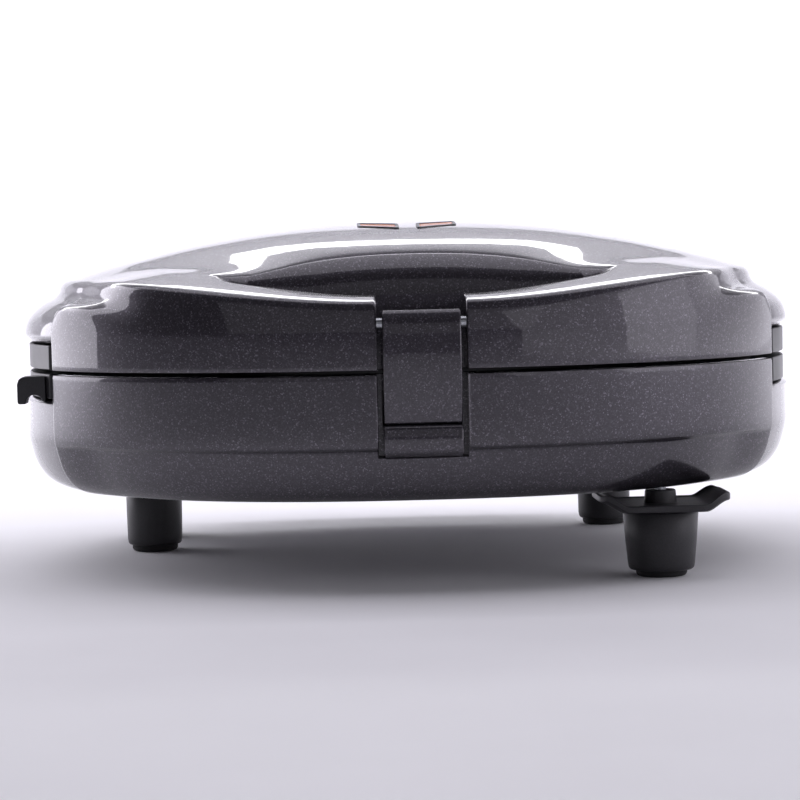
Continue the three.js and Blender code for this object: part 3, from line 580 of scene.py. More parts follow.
def spun_shell(rows_at):
    """Closed net whose rows are placed by rows_at(angle): outer skin, then inner skin back."""
    bm = bmesh.new()
    row_of = bm.verts.layers.int.new("row")
    count = len(rows_at(0.0))
    chain = []
    for i in range(count):
        vert = bm.verts.new((1 + i, 0, 0))
        vert[row_of] = i
        chain.append(vert)
    edges = [bm.edges.new(pair) for pair in zip(chain, chain[1:])]
    bmesh.ops.spin(
        bm,
        geom=chain + edges,
        cent=(0, 0, 0),
        axis=(0, 0, 1),
        angle=math.tau,
        steps=len(COLUMNS),
        use_merge=True,
    )
    step = math.tau / len(COLUMNS)
    places = [rows_at(angle) for angle in COLUMNS]
    for vert in bm.verts:
        column = round(math.atan2(vert.co.y, vert.co.x) / step) % len(COLUMNS)
        vert.co = places[column][vert[row_of]]
    return bm, row_of


def mark_skins(bm, row_of, first_inner):
    """Outer faces get marker 0 and inner faces 1."""
    for face in bm.faces:
        face.material_index = int(min(v[row_of] for v in face.verts) >= first_inner)


print("columns round a shell:", len(COLUMNS))

# %% [markdown]
# ## The latch bay
# The latch sits in a bay that goes right through both bands. Planes cut the skins along the bay's
# sides, the faces inside are removed, and the cut's own vertices are the front edge of three
# new walls. The same is done to the inner skin, one wall wider, so the bay has real thickness,
# and one last face closes the cut at the parting line.

# %% Bay cutter


def cut_notch(bm, marker, half, back, keep):
    """Cuts a notch in one skin and returns its rim, in order from left to right."""
    across, onward, upward = (1, 0, 0), (0, 1, 0), (0, 0, 1)
    for point, normal in (((half, 0, 0), across), ((-half, 0, 0), across), ((0, back, 0), onward)):
        near = []
        for face in bm.faces:
            c = face.calc_center_median()
            if face.material_index == marker and c.y < back + 14 and abs(c.x) < half + 12:
                near.append(face)
        bmesh.ops.bisect_plane(bm, geom=with_edges(near), dist=1e-4, plane_co=point, plane_no=normal)
    if keep:
        skin = [f for f in bm.faces if f.material_index == marker]
        near = [f for f in skin if f.calc_center_median().y < back + 14]
        level = (0, 0, keep)
        bmesh.ops.bisect_plane(bm, geom=with_edges(near), dist=1e-4, plane_co=level, plane_no=upward)
    inside = set()
    for face in bm.faces:
        c = face.calc_center_median()
        above = keep is None or c.z > keep
        if face.material_index == marker and abs(c.x) < half and c.y < back and above:
            inside.add(face)
    rim = set()
    for edge in {e for f in inside for e in f.edges}:
        if any(f not in inside and f.material_index == marker for f in edge.link_faces):
            rim.add(edge)
    bmesh.ops.delete(bm, geom=list(inside), context="FACES")
    return chain_of(list(rim))


def chain_of(edges):
    """Vertices of an open run of edges, starting at its left end."""
    used = {}
    for edge in edges:
        for vert in edge.verts:
            used.setdefault(vert, []).append(edge)
    ends = sorted((v for v, es in used.items() if len(es) == 1), key=lambda v: v.co.x)
    chain, edge = [ends[0]], used[ends[0]][0]
    while True:
        chain.append(edge.other_vert(chain[-1]))
        onward = [e for e in used[chain[-1]] if e is not edge]
        if not onward:
            return chain
        edge = onward[0]


def wall_notch(bm, chain, half, back, seam, keep):
    """Walls a notch from its rim: two sides, a back, and a floor where it has one."""
    left = [v for v in chain if v.co.x < -half + 1e-3]
    right = [v for v in chain if v.co.x > half - 1e-3]
    across = chain[chain.index(left[-1]) : chain.index(right[0]) + 1]
    corner = {side: bm.verts.new((side * half, back, seam)) for side in (-1, 1)}
    if keep is None:
        bm.faces.new([*left, corner[-1]])
        bm.faces.new([*right, corner[1]][::-1])
        bm.faces.new([*across, corner[1], corner[-1]])
    else:
        deep = {side: bm.verts.new((side * half, back, keep)) for side in (-1, 1)}
        bm.faces.new([*left, deep[-1], corner[-1]])
        bm.faces.new([*right, corner[1], deep[1]][::-1])
        bm.faces.new([*across, deep[1], deep[-1]])
        bm.faces.new([deep[-1], deep[1], corner[1], corner[-1]])


def cut_bay(bm, seam, floor):
    """Bay through outer and inner skins, closed at the parting line."""
    rims = []
    for marker, grow in ((0, 0), (1, WALL)):
        keep = None if floor is None else floor - grow
        chain = cut_notch(bm, marker, BAY_HALF + grow, BAY_BACK + grow, keep)
        rims.append(chain)
        wall_notch(bm, chain, BAY_HALF + grow, BAY_BACK + grow, seam, keep)
    open_edges = [e for e in bm.edges if e.is_boundary]
    at_seam = [e for e in open_edges if all(abs(v.co.z - seam) < 2.5 and v.co.y < -60 for v in e.verts)]
    bmesh.ops.holes_fill(bm, edges=at_seam, sides=0)
    soft = [e for a, b in zip(rims[0], rims[0][1:]) for e in a.link_edges if e.other_vert(a) is b]
    bmesh.ops.bevel(bm, geom=soft, offset=0.5, segments=2, profile=0.5, affect="EDGES", material=-1)


print(f"bay: {2 * BAY_HALF:.1f} wide, back wall at {BAY_BACK:.1f}")

# %% [markdown]
# ## Hinge ears
# Each half carries two ears with an eye for the steel pin. An ear is an arm with a round end, so it
# starts as a disc round the pin and an outline of the arm, both extruded to the ear's width.

# %% Ears
HINGE_PIN = span("hinge_pin_left")
HINGE_Y = (HINGE_PIN[0].y + HINGE_PIN[1].y) / 2
HINGE_X = abs(HINGE_PIN[0].x + HINGE_PIN[1].x) / 2
EAR_W = 8
EAR_R = 5


def extruded(bm, points, along):
    """Prism of a closed outline, extruded along a vector."""
    face = bm.faces.new([bm.verts.new(p) for p in points])
    made = bmesh.ops.extrude_face_region(bm, geom=[face])
    bmesh.ops.translate(bm, vec=along, verts=verts_of(made))


def plan_depth(r, x):
    return r * (1 - abs(x / r) ** PLAN_POWER) ** (1 / PLAN_POWER)


def add_ear(bm, x0, way):
    """Arm and eye in one solid outline, extruded to the ear's width."""
    reach = plan_depth(FRAME_R, min(abs(x0), abs(x0 + EAR_W)))
    edge = SEAM + way * (LID_EDGE - SEAM + GAP)
    high = edge + way * 6.5
    eye = []
    for k in range(19):
        turn = math.radians(mix(-100, 62, k / 18))
        eye.append((HINGE_Y + EAR_R * math.cos(turn), SEAM + way * EAR_R * math.sin(turn)))
    arm = rounded([eye[-1], (HINGE_Y - 1.2, high - way * 2.5), (HINGE_Y - 3.5, high), (reach - 4, high)], 2)
    points = [*eye, *arm[1:], (reach - 4, edge), (reach + 1.2, edge), (reach + 1.2, SEAM + way * 1.2)]
    points.append((eye[0][0] - 0.6, SEAM + way * 1.2))
    extruded(bm, [(x0, y, z) for y, z in points], (EAR_W, 0, 0))


# %% [markdown]
# ## The lid
# The lid's outer rows run from the lip up the face, over the crest, round the slot and to the
# top of the dome. The inner rows come back one wall lower. After the spin the slot's faces go, its
# outer rim is pushed down to the frame and bridged to the inner skin's hole.

# %% Lid shell


def lid_rows(angle):
    a = abs(angle)
    outer = [Vector((*plan_point(r, angle), z)) for r, z in lid_face(a)]
    top = slot_rows(angle, True, 0)
    pole = Vector((0, 0, LID_TOP))
    inner_top = slot_rows(angle, False, SLOT_WALL)[::-1]
    r, z = crest(a)
    side = sideness(a)
    back = [
        (r - 8, top_z(r - 8, a) - WALL),
        (r - 3.4, z - WALL - mix(1.2, 0.4, side)),
        (mix(r - 1.4, BODY_R - 7.4, side), mix(z - 5, SEAM + 16.2, side)),
        (mix(BODY_R - BAND_T, BODY_R - 3.6, side), SEAM + 12.4),
        (BODY_R - 3.5, LID_EDGE + 2.2),
    ]
    inner = [Vector((*plan_point(ring_r, angle), ring_z)) for ring_r, ring_z in back]
    return [*outer, *top, pole, pole - Vector((0, 0, WALL)), *inner_top, *inner, outer[0]]


def open_slot(bm, row_of):
    """Removes the faces inside the slot, sinks its rim and bridges it to the inner skin."""
    outer_rows = len(lid_face(0))
    first = outer_rows + len(RIM_BEFORE) - 1
    inner_first = outer_rows + len(RIM_BEFORE) + len(RIM_BEHIND) + len(INNER_ROWS) + 2
    inner_second = inner_first + len(INNER_ROWS) + len(RIM_BEHIND) - 1
    rings = []
    for row in (first, inner_second):
        doomed = []
        for face in bm.faces:
            rows = {v[row_of] for v in face.verts}
            c = face.calc_center_median()
            if rows == {row, row + 1} and abs(c.x) < SLOT_HALF and c.y < -60:
                doomed.append(face)
        bmesh.ops.delete(bm, geom=doomed, context="FACES_ONLY")
        rings.append([e for e in bm.edges if e.is_boundary and e not in sum(rings, [])])
    outer_ring, inner_ring = rings
    made = bmesh.ops.extrude_edge_only(bm, edges=outer_ring)
    for vert in verts_of(made):
        vert.co.z = LID_EDGE + GAP
    sunk_edges = [g for g in made["geom"] if isinstance(g, bmesh.types.BMEdge) and g.is_boundary]
    bmesh.ops.bridge_loops(bm, edges=sunk_edges + inner_ring)


def make_lid():
    bm, row_of = spun_shell(lid_rows)
    first_inner = len(lid_face(0)) + len(RIM_BEFORE) + len(RIM_BEHIND) + len(INNER_ROWS) + 1
    mark_skins(bm, row_of, first_inner)
    bmesh.ops.remove_doubles(bm, verts=bm.verts, dist=0.004)
    open_slot(bm, row_of)
    bmesh.ops.recalc_face_normals(bm, faces=bm.faces)
    cut_bay(bm, LID_BOTTOM, None)
    for x0 in (-HINGE_X + GAP / 2, HINGE_X - GAP / 2 - EAR_W):
        add_ear(bm, x0, 1)
    bmesh.ops.recalc_face_normals(bm, faces=bm.faces)
    finish_piece(bm, "lid_casing", "lid", LACQUER, ["lid_shell"], sharp=48)


make_lid()

# %% [markdown]
# ## The base
# The base is made in the same way. Its front band hangs over the wall below it as a lip, and the
# lip fades into the wall beyond the band's ends. At the parting line its edge is softly rounded,
# which catches a thin line of light.

# %% Base shell


def base_face(angle):
    """Outer face from the upper lip down to the underside, as (plan radius, height) rows."""
    end = past_band(angle)
    front = 1 - smooth(math.radians(49), math.radians(60), angle)
    back = LIP_STEP * front
    out = BODY_R - set_back(angle)
    rim = mix(BASE_TOP, BASE_EDGE, end)
    lip = [
        (mix(BODY_R - BAND_T, out - 3.4, end), rim - 1.2),
        (mix(BODY_R - BAND_T, out - 3.4, end), rim - 0.4),
        (mix(BODY_R - BAND_T + 0.4, out - 3.0, end), rim),
        (mix(out - 0.8, out - 2.2, end), rim),
        (mix(out - 0.2, out - 0.8, end), rim - mix(0.15, 0.4, end)),
        (out, rim - mix(0.8, 1.1, end)),
    ]
    wall = [
        (out, SEAM - 9.6),
        (out, LIP_Z + 3.2),
        (out - mix(0.1, 0.15, front), LIP_Z + 0.9),
        (out - mix(0.3, 0.9, front), LIP_Z - 0.1),
        (out - mix(0.45, 0.5 + LIP_STEP * 0.9, front), LIP_Z - mix(0.8, 0.25, front)),
        (out - 0.8 - back, LIP_Z - 2.2),
        (out - 2.3 - back, BASE_BOTTOM + 7),
        (out - 5.8 - back * 0.8, BASE_BOTTOM + 2.2),
        (out - 11.5 - back * 0.4, BASE_BOTTOM),
        (BODY_R - 20, BASE_BOTTOM),
    ]
    return lip + rounded([lip[-1], *wall], 2)[1:]


def base_rows(angle):
    a = abs(angle)
    outer = [Vector((*plan_point(r, angle), z)) for r, z in base_face(a)]
    floor = [Vector((*plan_point(r, angle), BASE_BOTTOM)) for r in (70, 40, 14)]
    pole = Vector((0, 0, BASE_BOTTOM))
    back = LIP_STEP * (1 - smooth(math.radians(48), math.radians(64), a))
    r = BODY_R - WALL - back
    inner = [(14, 0), (40, 0), (70, 0), (r - 11, 0), (r - 3, 5), (r - 0.8, 10.5)]
    rows = [Vector((*plan_point(ring_r, angle), BASE_BOTTOM + WALL + up)) for ring_r, up in inner]
    last = Vector((*plan_point(min(r, BODY_R - BAND_T) - 0.3, angle), BASE_EDGE - 4))
    return [*outer, *floor, pole, pole + Vector((0, 0, WALL)), *rows, last, outer[0]]


def make_base():
    bm, row_of = spun_shell(base_rows)
    mark_skins(bm, row_of, len(base_face(0)) + 4)
    bmesh.ops.remove_doubles(bm, verts=bm.verts, dist=0.004)
    bmesh.ops.recalc_face_normals(bm, faces=bm.faces)
    cut_bay(bm, BASE_TOP, span("latch_catch")[0].z - GAP)
    for x0 in (-HINGE_X - GAP / 2 - EAR_W, HINGE_X + GAP / 2):
        add_ear(bm, x0, -1)
    bmesh.ops.recalc_face_normals(bm, faces=bm.faces)
    finish_piece(bm, "base_casing", "base", LACQUER, ["base_shell"], sharp=48)


make_base()

# %% [markdown]
# ## Latch
# The lever is a short curved paddle: its top rolls back over the pin, its face is flat, and its
# lower end slopes in as a thumb rest. The side outline is extruded to the lever's width, and a
# bevel modifier rounds its long edges. The catch pad below continues the same face.

# %% Latch lever and catch
LEVER = span("latch_lever")
CATCH = span("latch_catch")
PIN = span("latch_pin")


def make_lever():
    (x0, front, bottom), (x1, back, top) = LEVER
    pin_y, pin_z = (PIN[0].y + PIN[1].y) / 2, (PIN[0].z + PIN[1].z) / 2
    lug = top - pin_z
    face = [
        (front + 1.7, bottom), (front + 0.25, bottom + 5.2), (front, bottom + 6.4),
        (front, top - 6.2), (front + 0.15, top - 4.6), (front + 1.6, top - 0.9), (front + 2.6, top),
    ]
    over = []
    for k in range(9):
        turn = math.radians(mix(90, -42, k / 8))
        over.append((pin_y + lug * math.cos(turn), pin_z + lug * math.sin(turn)))
    inner = front + 4.2
    rest = [(inner, pin_z - 5.5), (inner, bottom + 4.4), (inner + 0.5, bottom + 3), (inner, bottom + 2.2)]
    bm = bmesh.new()
    outline = [*face, *over, *rest, (inner, bottom)]
    extruded(bm, [(x0, y, z) for y, z in outline], (x1 - x0, 0, 0))
    bmesh.ops.recalc_face_normals(bm, faces=bm.faces)
    finish_piece(
        bm, "latch_paddle", "latch", LACQUER, ["latch_lever"], bevel=0.55, segments=3
    )


def make_catch():
    (x0, front, bottom), (x1, back, top) = CATCH
    pad_top = LEVER[0].z - GAP
    face = [
        (front + 2.4, bottom), (front + 0.7, bottom + 0.9), (front, bottom + 2.6),
        (front, pad_top - 1.2), (front + 0.5, pad_top - 0.3), (front + 1.2, pad_top),
    ]
    hook = [
        (back - 3.1, pad_top), (back - 3.1, pad_top + 5.6), (LEVER[0].y + 4.5, pad_top + 7.4),
        (back - 3.1, pad_top + 9), (back, pad_top + 9), (back, bottom),
    ]
    bm = bmesh.new()
    extruded(bm, [(x0, y, z) for y, z in [*face, *hook]], (x1 - x0, 0, 0))
    bmesh.ops.recalc_face_normals(bm, faces=bm.faces)
    finish_piece(
        bm, "catch_pad", "base", LACQUER, ["latch_catch"], bevel=0.8, segments=3
    )


make_lever()
make_catch()

# %% [markdown]
# ## Indicator windows
# Two slanted amber windows sit in the crown of the lid, each in a thin black frame. The window's
# plan is a parallelogram. A face of that outline is given thickness and laid on the dome, where it
# stands a little proud. The frame is the same outline, inset into a narrow rim.

# %% Windows
LENS_PROUD = 0.3
BEZEL_PROUD = 0.45
WINDOW_RISE = 8.4


def on_dome(bm, lift):
    """Drops every vertex onto the dome, plus a lift."""
    for vert in bm.verts:
        r = math.hypot(vert.co.x, vert.co.y)
        vert.co.z += dome_z(r) + lift


def window_outline(node, grow):
    a, b = span(node)
    side = 1 if b.x > 0 else -1
    inner, outer = (a.x, b.x) if side > 0 else (b.x, a.x)
    depth = b.y - a.y - WINDOW_RISE
    return [
        (inner - side * grow, a.y - grow, 0),
        (outer + side * grow, a.y + WINDOW_RISE - grow, 0),
        (outer + side * grow, b.y + grow, 0),
        (inner - side * grow, a.y + depth + grow, 0),
    ]


def make_window(node, name):
    bm = bmesh.new()
    bm.faces.new([bm.verts.new(p) for p in window_outline(node, -0.1)])
    bmesh.ops.bevel(bm, geom=list(bm.verts), offset=0.8, segments=3, profile=0.5, affect="VERTICES")
    made = bmesh.ops.extrude_face_region(bm, geom=list(bm.faces))
    bmesh.ops.translate(bm, vec=(0, 0, -1.8), verts=verts_of(made))
    on_dome(bm, LENS_PROUD)
    bmesh.ops.recalc_face_normals(bm, faces=bm.faces)
    finish_piece(bm, name, "lid", AMBER, [node], bevel=0.25)
    bm = bmesh.new()
    bm.faces.new([bm.verts.new(p) for p in window_outline(node, 0.75)])
    bmesh.ops.bevel(bm, geom=list(bm.verts), offset=1.2, segments=3, profile=0.5, affect="VERTICES")
    bmesh.ops.inset_region(
        bm, faces=list(bm.faces), thickness=0.85, use_boundary=True, use_even_offset=True
    )
    middle = [f for f in bm.faces if len(f.verts) > 4]
    bmesh.ops.delete(bm, geom=middle, context="FACES")
    made = bmesh.ops.extrude_face_region(bm, geom=list(bm.faces))
    bmesh.ops.translate(bm, vec=(0, 0, -2.6), verts=verts_of(made))
    on_dome(bm, BEZEL_PROUD)
    bmesh.ops.recalc_face_normals(bm, faces=bm.faces)
    finish_piece(bm, name + "_bezel", "lid", FRAME_PLASTIC, bevel=0.15)


make_window("power_lens", "power_window")
make_window("ready_lens", "ready_window")

# %% [markdown]
# ## Rim frames
# Each half has a flat black frame which holds its baking plate and closes the shell. Its edge shows
# in the grooves beside the parting line. The frame is one flat face with holes for the plate
# and the slot, filled between its outlines, and extruded to its height.

# %% Rim frames
PLATE = span("base_plate")
PLATE_R = (PLATE[1].x - PLATE[0].x) / 2
PLATE_Y = (PLATE[1].y + PLATE[0].y) / 2


def ring_points(r, z, centre=(0, 0), steps=96):
    x, y = centre
    turn = math.tau / steps
    return [(x + r * math.cos(k * turn), y + r * math.sin(k * turn), z) for k in range(steps)]


def frame_outline(z, behind):
    """Plan outline: set back behind the band, notched round the bay, wider beside it."""
    points = []
    half, back = BAY_HALF + WALL + GAP, BAY_BACK + WALL + GAP
    stop = BAND_END + 0.026
    for k in range(241):
        angle = mix(-math.pi, math.pi, k / 240)
        r = behind if abs(angle) < stop else FRAME_R
        x, y = plan_point(r, angle)
        if abs(x) > half or y > 0:
            points.append((x, y, z))
    left = [p for p in points if p[0] < 0]
    right = [p for p in points if p[0] >= 0]
    front_y = -plan_depth(behind, half)
    notch = [(-half, front_y, z), (-half, back, z), (half, back, z), (half, front_y, z)]
    return [*left[1:], *notch, *right]


def make_frame(name, node, body, way, behind, slot):
    seam = LID_BOTTOM if way > 0 else BASE_TOP
    deep = LID_EDGE - GAP - LID_BOTTOM
    bm = bmesh.new()
    edges = loop(bm, frame_outline(seam, behind))
    edges += loop(bm, ring_points(PLATE_R + GAP, seam, (0, PLATE_Y)))
    if slot:
        steps = [TIP_ANGLE * k / 24 for k in range(-24, 25)]
        ahead = [(*slot_edge(a * 0.999, 1, 0.4), seam) for a in steps]
        behind_rim = [(*slot_edge(a * 0.999, -1, 0.4), seam) for a in reversed(steps)]
        edges += loop(bm, ahead + behind_rim)
    bmesh.ops.triangle_fill(bm, use_beauty=True, use_dissolve=False, edges=edges)
    bmesh.ops.recalc_face_normals(bm, faces=bm.faces)
    made = bmesh.ops.extrude_face_region(bm, geom=list(bm.faces))
    bmesh.ops.translate(bm, vec=(0, 0, way * deep), verts=verts_of(made))
    bmesh.ops.recalc_face_normals(bm, faces=bm.faces)
    finish_piece(bm, name, body, FRAME_PLASTIC, [node], sharp=30, bevel=0.35)


BEHIND_BAND = BODY_R - BAND_T - GAP
make_frame("lid_plate_frame", "lid_rim_frame", "lid", 1, BEHIND_BAND, True)
make_frame("base_plate_frame", "base_rim_frame", "base", -1, BEHIND_BAND - LIP_STEP, False)

# %% [markdown]
# ## Baking plates
# Each plate is a cast disc with seven ring cups, one in the middle and six round it. The flat face
# is filled between its rim and the cups' circles. Each cup is a profile spun round its own centre:
# down into the ring, up over the middle post. The back is the same with a shallow bowl
# for each cup, and the two are bridged at the rim.

# %% Plates
CUP_MAJOR = 15.5
CUP_MINOR = 9
CUP_PITCH = 2 * (CUP_MAJOR + CUP_MINOR) + 3
PLATE_T = 2.6
CUP_STEPS = 56


def cup_centres():
    turns = [k * math.tau / 6 for k in range(6)]
    ring = [(CUP_PITCH * math.cos(turn), PLATE_Y + CUP_PITCH * math.sin(turn)) for turn in turns]
    return [(0, PLATE_Y), *ring]


def cup_profile(way, face):
    """Ring groove with a rounded lip and a domed middle post, as (radius, height)."""
    outer, inner = CUP_MAJOR + CUP_MINOR, CUP_MAJOR - CUP_MINOR
    rim = [(outer, 0), (outer - 0.25, 0.06), (outer - 0.5, 0.5)]
    groove = []
    for k in range(1, 18):
        c, s = math.cos(math.pi * k / 18), math.sin(math.pi * k / 18)
        groove.append((CUP_MAJOR + (CUP_MINOR - 0.5) * c, 0.5 + (CUP_MINOR - 0.7) * s))
    post = [(inner + 0.4, 0.5), (inner - 0.3, 0.05), (inner - 1.2, 0), (0, 0)]
    return [(r, face + way * z) for r, z in rim + groove + post]


def make_plate(node, name, body, way):
    face = span(node)[0].z if way > 0 else span(node)[1].z
    bm = bmesh.new()
    edges = loop(bm, ring_points(PLATE_R, face, (0, PLATE_Y), 128))
    for centre in cup_centres():
        edges += loop(bm, ring_points(CUP_MAJOR + CUP_MINOR, face, centre, CUP_STEPS))
    bmesh.ops.triangle_fill(bm, use_beauty=True, use_dissolve=False, edges=edges)
    for centre in cup_centres():
        turned(bm, cup_profile(way, face), centre, CUP_STEPS)
    rim = [e for e in bm.edges if e.is_boundary]
    edge = bmesh.ops.extrude_edge_only(bm, edges=rim)
    for vert in verts_of(edge):
        vert.co.z = face + way * PLATE_T
    back_edges = [g for g in edge["geom"] if isinstance(g, bmesh.types.BMEdge) and g.is_boundary]
    inner = CUP_MAJOR + CUP_MINOR + 1
    for centre in cup_centres():
        back_edges += loop(bm, ring_points(inner, face + way * PLATE_T, centre, CUP_STEPS))
    bmesh.ops.triangle_fill(bm, use_beauty=True, use_dissolve=False, edges=back_edges)
    bowl = [(inner, PLATE_T), (inner - 0.6, 5), (inner - 3, 9.2), (inner - 5.5, 10.9)]
    bowl += [(inner - 9, 11.2), (0, 11.2)]
    for centre in cup_centres():
        turned(bm, [(r, face + way * z) for r, z in bowl], centre, CUP_STEPS)
    bmesh.ops.recalc_face_normals(bm, faces=bm.faces)
    finish_piece(bm, name, body, COATING, [node], sharp=35)


make_plate("lid_plate", "lid_baking_plate", "lid", 1)
make_plate("base_plate", "base_baking_plate", "base", -1)

# %% [markdown]
# ## Feet and soles
# The feet are turned posts with a rounded lower rim. The front right one is larger and tapers.
# A rubber sole is pressed into each. Both are profiles spun round the foot's own axis.

# %% Feet
FEET = ["front_right", "rear_right", "mid_left", "rear_left"]


def make_foot(name):
    a, b = span(f"{name}_foot")
    pad_low, pad_high = span(f"{name}_pad")
    centre = ((a.x + b.x) / 2, (a.y + b.y) / 2)
    r_top = (b.x - a.x) / 2
    r_low = r_top - (1.2 if name == "front_right" else 0.3)
    pad_r = (pad_high.x - pad_low.x) / 2
    bottom, top = a.z, b.z
    low_rim = rounded([(r_low - 1.7, bottom), (r_low - 0.3, bottom + 0.15), (r_low, bottom + 1.9)], 2)
    profile = [
        (0, bottom + 1.5), (pad_r + GAP, bottom + 1.5), (pad_r + GAP, bottom + 0.1),
        *low_rim, (mix(r_low, r_top, 0.5), (bottom + top) / 2), (r_top - 0.05, top - 0.5),
        (r_top - 0.4, top), (0, top),
    ]
    bm = bmesh.new()
    turned(bm, profile, centre, 64)
    bmesh.ops.recalc_face_normals(bm, faces=bm.faces)
    finish_piece(bm, f"{name}_post", "base", SATIN, [f"{name}_foot"], sharp=50)
    sole = [
        (0, 0.15), (pad_r - 3.2, 0.15), (pad_r - 2.8, 0), (pad_r - 1.2, 0),
        (pad_r - 0.4, 0.25), (pad_r, 0.9), (pad_r, pad_high.z), (0, pad_high.z),
    ]
    bm = bmesh.new()
    turned(bm, sole, centre, 56)
    bmesh.ops.recalc_face_normals(bm, faces=bm.faces)
    finish_piece(bm, f"{name}_sole", "base", RUBBER, [f"{name}_pad"], sharp=50)


for foot in FEET:
    make_foot(foot)

# %% [markdown]
# ## Cord guide
# A flanged plate sits on top of the front right foot. The wound cord lies in its channel, and the
# plate's ends turn up to hold it. The plate is a grid drawn as a rounded rectangle. Its ends are
# bent up in a smooth curve, and a solidify operator gives it its thickness.

# %% Cord guide
GUIDE = span("cord_guide")


def make_guide():
    (x0, y0, z0), (x1, y1, z1) = GUIDE
    mid_x, mid_y = (x0 + x1) / 2, (y0 + y1) / 2
    half_x, half_y = (x1 - x0) / 2, (y1 - y0) / 2
    bm = bmesh.new()
    bmesh.ops.create_grid(bm, x_segments=40, y_segments=24, size=1)
    for vert in bm.verts:
        u, v = vert.co.x, vert.co.y
        squeeze = 1 - 0.16 * abs(u) ** 5 * v * v
        x = u * half_x * (1 - 0.1 * abs(v) ** 5)
        y = v * half_y * squeeze
        lift = (z1 - z0 - 2.4) * smooth(0.62, 1.0, abs(u)) + 0.35 * smooth(0.8, 1.0, abs(v))
        vert.co = (mid_x + x, mid_y + y, z0 + lift)
    bmesh.ops.solidify(bm, geom=list(bm.faces), thickness=-1.9)
    bmesh.ops.recalc_face_normals(bm, faces=bm.faces)
    lowest = min(v.co.z for v in bm.verts)
    bmesh.ops.translate(bm, vec=(0, 0, z0 - lowest), verts=bm.verts)
    post = [(0, z0 + 1), (4.6, z0 + 1), (4.4, z0 + 2.6), (4.2, z1), (0, z1)]
    turned(bm, post, (mid_x, mid_y), 40)
    bmesh.ops.recalc_face_normals(bm, faces=bm.faces)
    finish_piece(bm, "cord_flange", "base", SATIN, ["cord_guide"], bevel=0.4)


make_guide()

# %% [markdown]
# ## Cord clip
# At the left a small hook stands out of the rim. The plug end of the cord is pushed under it. Its
# side view is an arch with a longer outer leg and a rounded back, extruded along the rim.

# %% Cord clip
CLIP = span("cord_clip")


def make_clip():
    (x0, y0, z0), (x1, y1, z1) = CLIP
    leg, arch_half, arch_rise = 2.4, 2.3, 2.0
    arch = []
    for k in range(9):
        turn = math.pi * k / 8
        x = x0 + leg + arch_half - arch_half * math.cos(turn)
        arch.append((x, z0 + 0.6 + arch_rise * math.sin(turn)))
    outline = [
        (x0 + 0.3, z0), (x0, z0 + 0.6), (x0, z1 - 2.2), (x0 + 0.5, z1 - 0.7),
        (x0 + 1.6, z1 - 0.1), (x0 + 2.4, z1), (x1, z1), (x1, z0 + 0.8),
        *arch[::-1], (x0 + leg, z0),
    ]
    bm = bmesh.new()
    extruded(bm, [(x, y0, z) for x, z in outline], (0, y1 - y0, 0))
    bmesh.ops.recalc_face_normals(bm, faces=bm.faces)
    finish_piece(bm, "cord_hook", "base", SATIN, ["cord_clip"], bevel=0.35)


make_clip()

# %% [markdown]
# ## Hinge pins, latch pin and plate screws
# The pins are steel rod with chamfered ends. The plate screws are pan heads with a cross recess,
# which show when the lid is open. The cross is sunk by cutting the head's top with four bisecting
# planes and pushing its middle faces in.

# %% Pins and screws


def make_pin(node, body):
    a, b = span(node)
    r = (b.z - a.z) / 2
    middle = (a + b) / 2
    half = (b.x - a.x) / 2
    chamfer = 0.4
    profile = [(0, -half), (r - chamfer, -half), (r, -half + chamfer)]
    profile += [(r, half - chamfer), (r - chamfer, half), (0, half)]
    bm = bmesh.new()
    turned(bm, profile, steps=32, axis=(1, 0, 0), start=(0, 0, 1), at=middle)
    bmesh.ops.recalc_face_normals(bm, faces=bm.faces)
    finish_piece(bm, node + "_rod", body, ZINC, [node], sharp=30)


def make_plate_screw(node, body, way):
    a, b = span(node)
    centre = ((a.x + b.x) / 2, (a.y + b.y) / 2)
    head = a.z if way > 0 else b.z
    length = b.z - a.z
    r = (b.x - a.x) / 2
    shank = r * 0.52
    profile = [(0, 0), (r * 0.6, 0), (r * 0.86, 0.14), (r, 0.5), (r, 1.15), (shank, 1.4)]
    profile += [(shank, length - 2), (0, length)]
    bm = bmesh.new()
    turned(bm, [(q, head + way * h) for q, h in profile], centre, 32)
    arm, reach, recess = 0.34, r * 0.5, 0.7
    for offset in (-arm, arm):
        for normal in ((1, 0, 0), (0, 1, 0)):
            near = [f for f in bm.faces if abs(f.calc_center_median().z - head) < 1e-3]
            point = Vector((*centre, head)) + Vector(normal) * offset
            bmesh.ops.bisect_plane(bm, geom=with_edges(near), dist=1e-4, plane_co=point, plane_no=normal)
    cross = []
    for face in bm.faces:
        c = face.calc_center_median() - Vector((*centre, head))
        near_arm = min(abs(c.x), abs(c.y)) < arm and max(abs(c.x), abs(c.y)) < reach
        if abs(c.z) < 1e-3 and near_arm:
            cross.append(face)
    made = bmesh.ops.extrude_face_region(bm, geom=cross)
    bmesh.ops.translate(bm, vec=(0, 0, way * recess), verts=verts_of(made))
    bmesh.ops.delete(bm, geom=cross, context="FACES_ONLY")
    bmesh.ops.recalc_face_normals(bm, faces=bm.faces)
    finish_piece(bm, node + "_cross_head", body, ZINC, [node], sharp=35)


make_pin("hinge_pin_left", "base")
make_pin("hinge_pin_right", "base")
make_pin("latch_pin", "lid")
for number in (1, 2, 3):
    make_plate_screw(f"lid_plate_screw_{number}", "lid", 1)
    make_plate_screw(f"base_plate_screw_{number}", "base", -1)

# %% [markdown]
# ## Cord bush
# The mains cord would leave through a rubber bush in the back wall. It is a ring with a rounded
# flange and a soft lip, spun round the cord's axis. The cord itself isn't part of this model.

# %% Cord bush


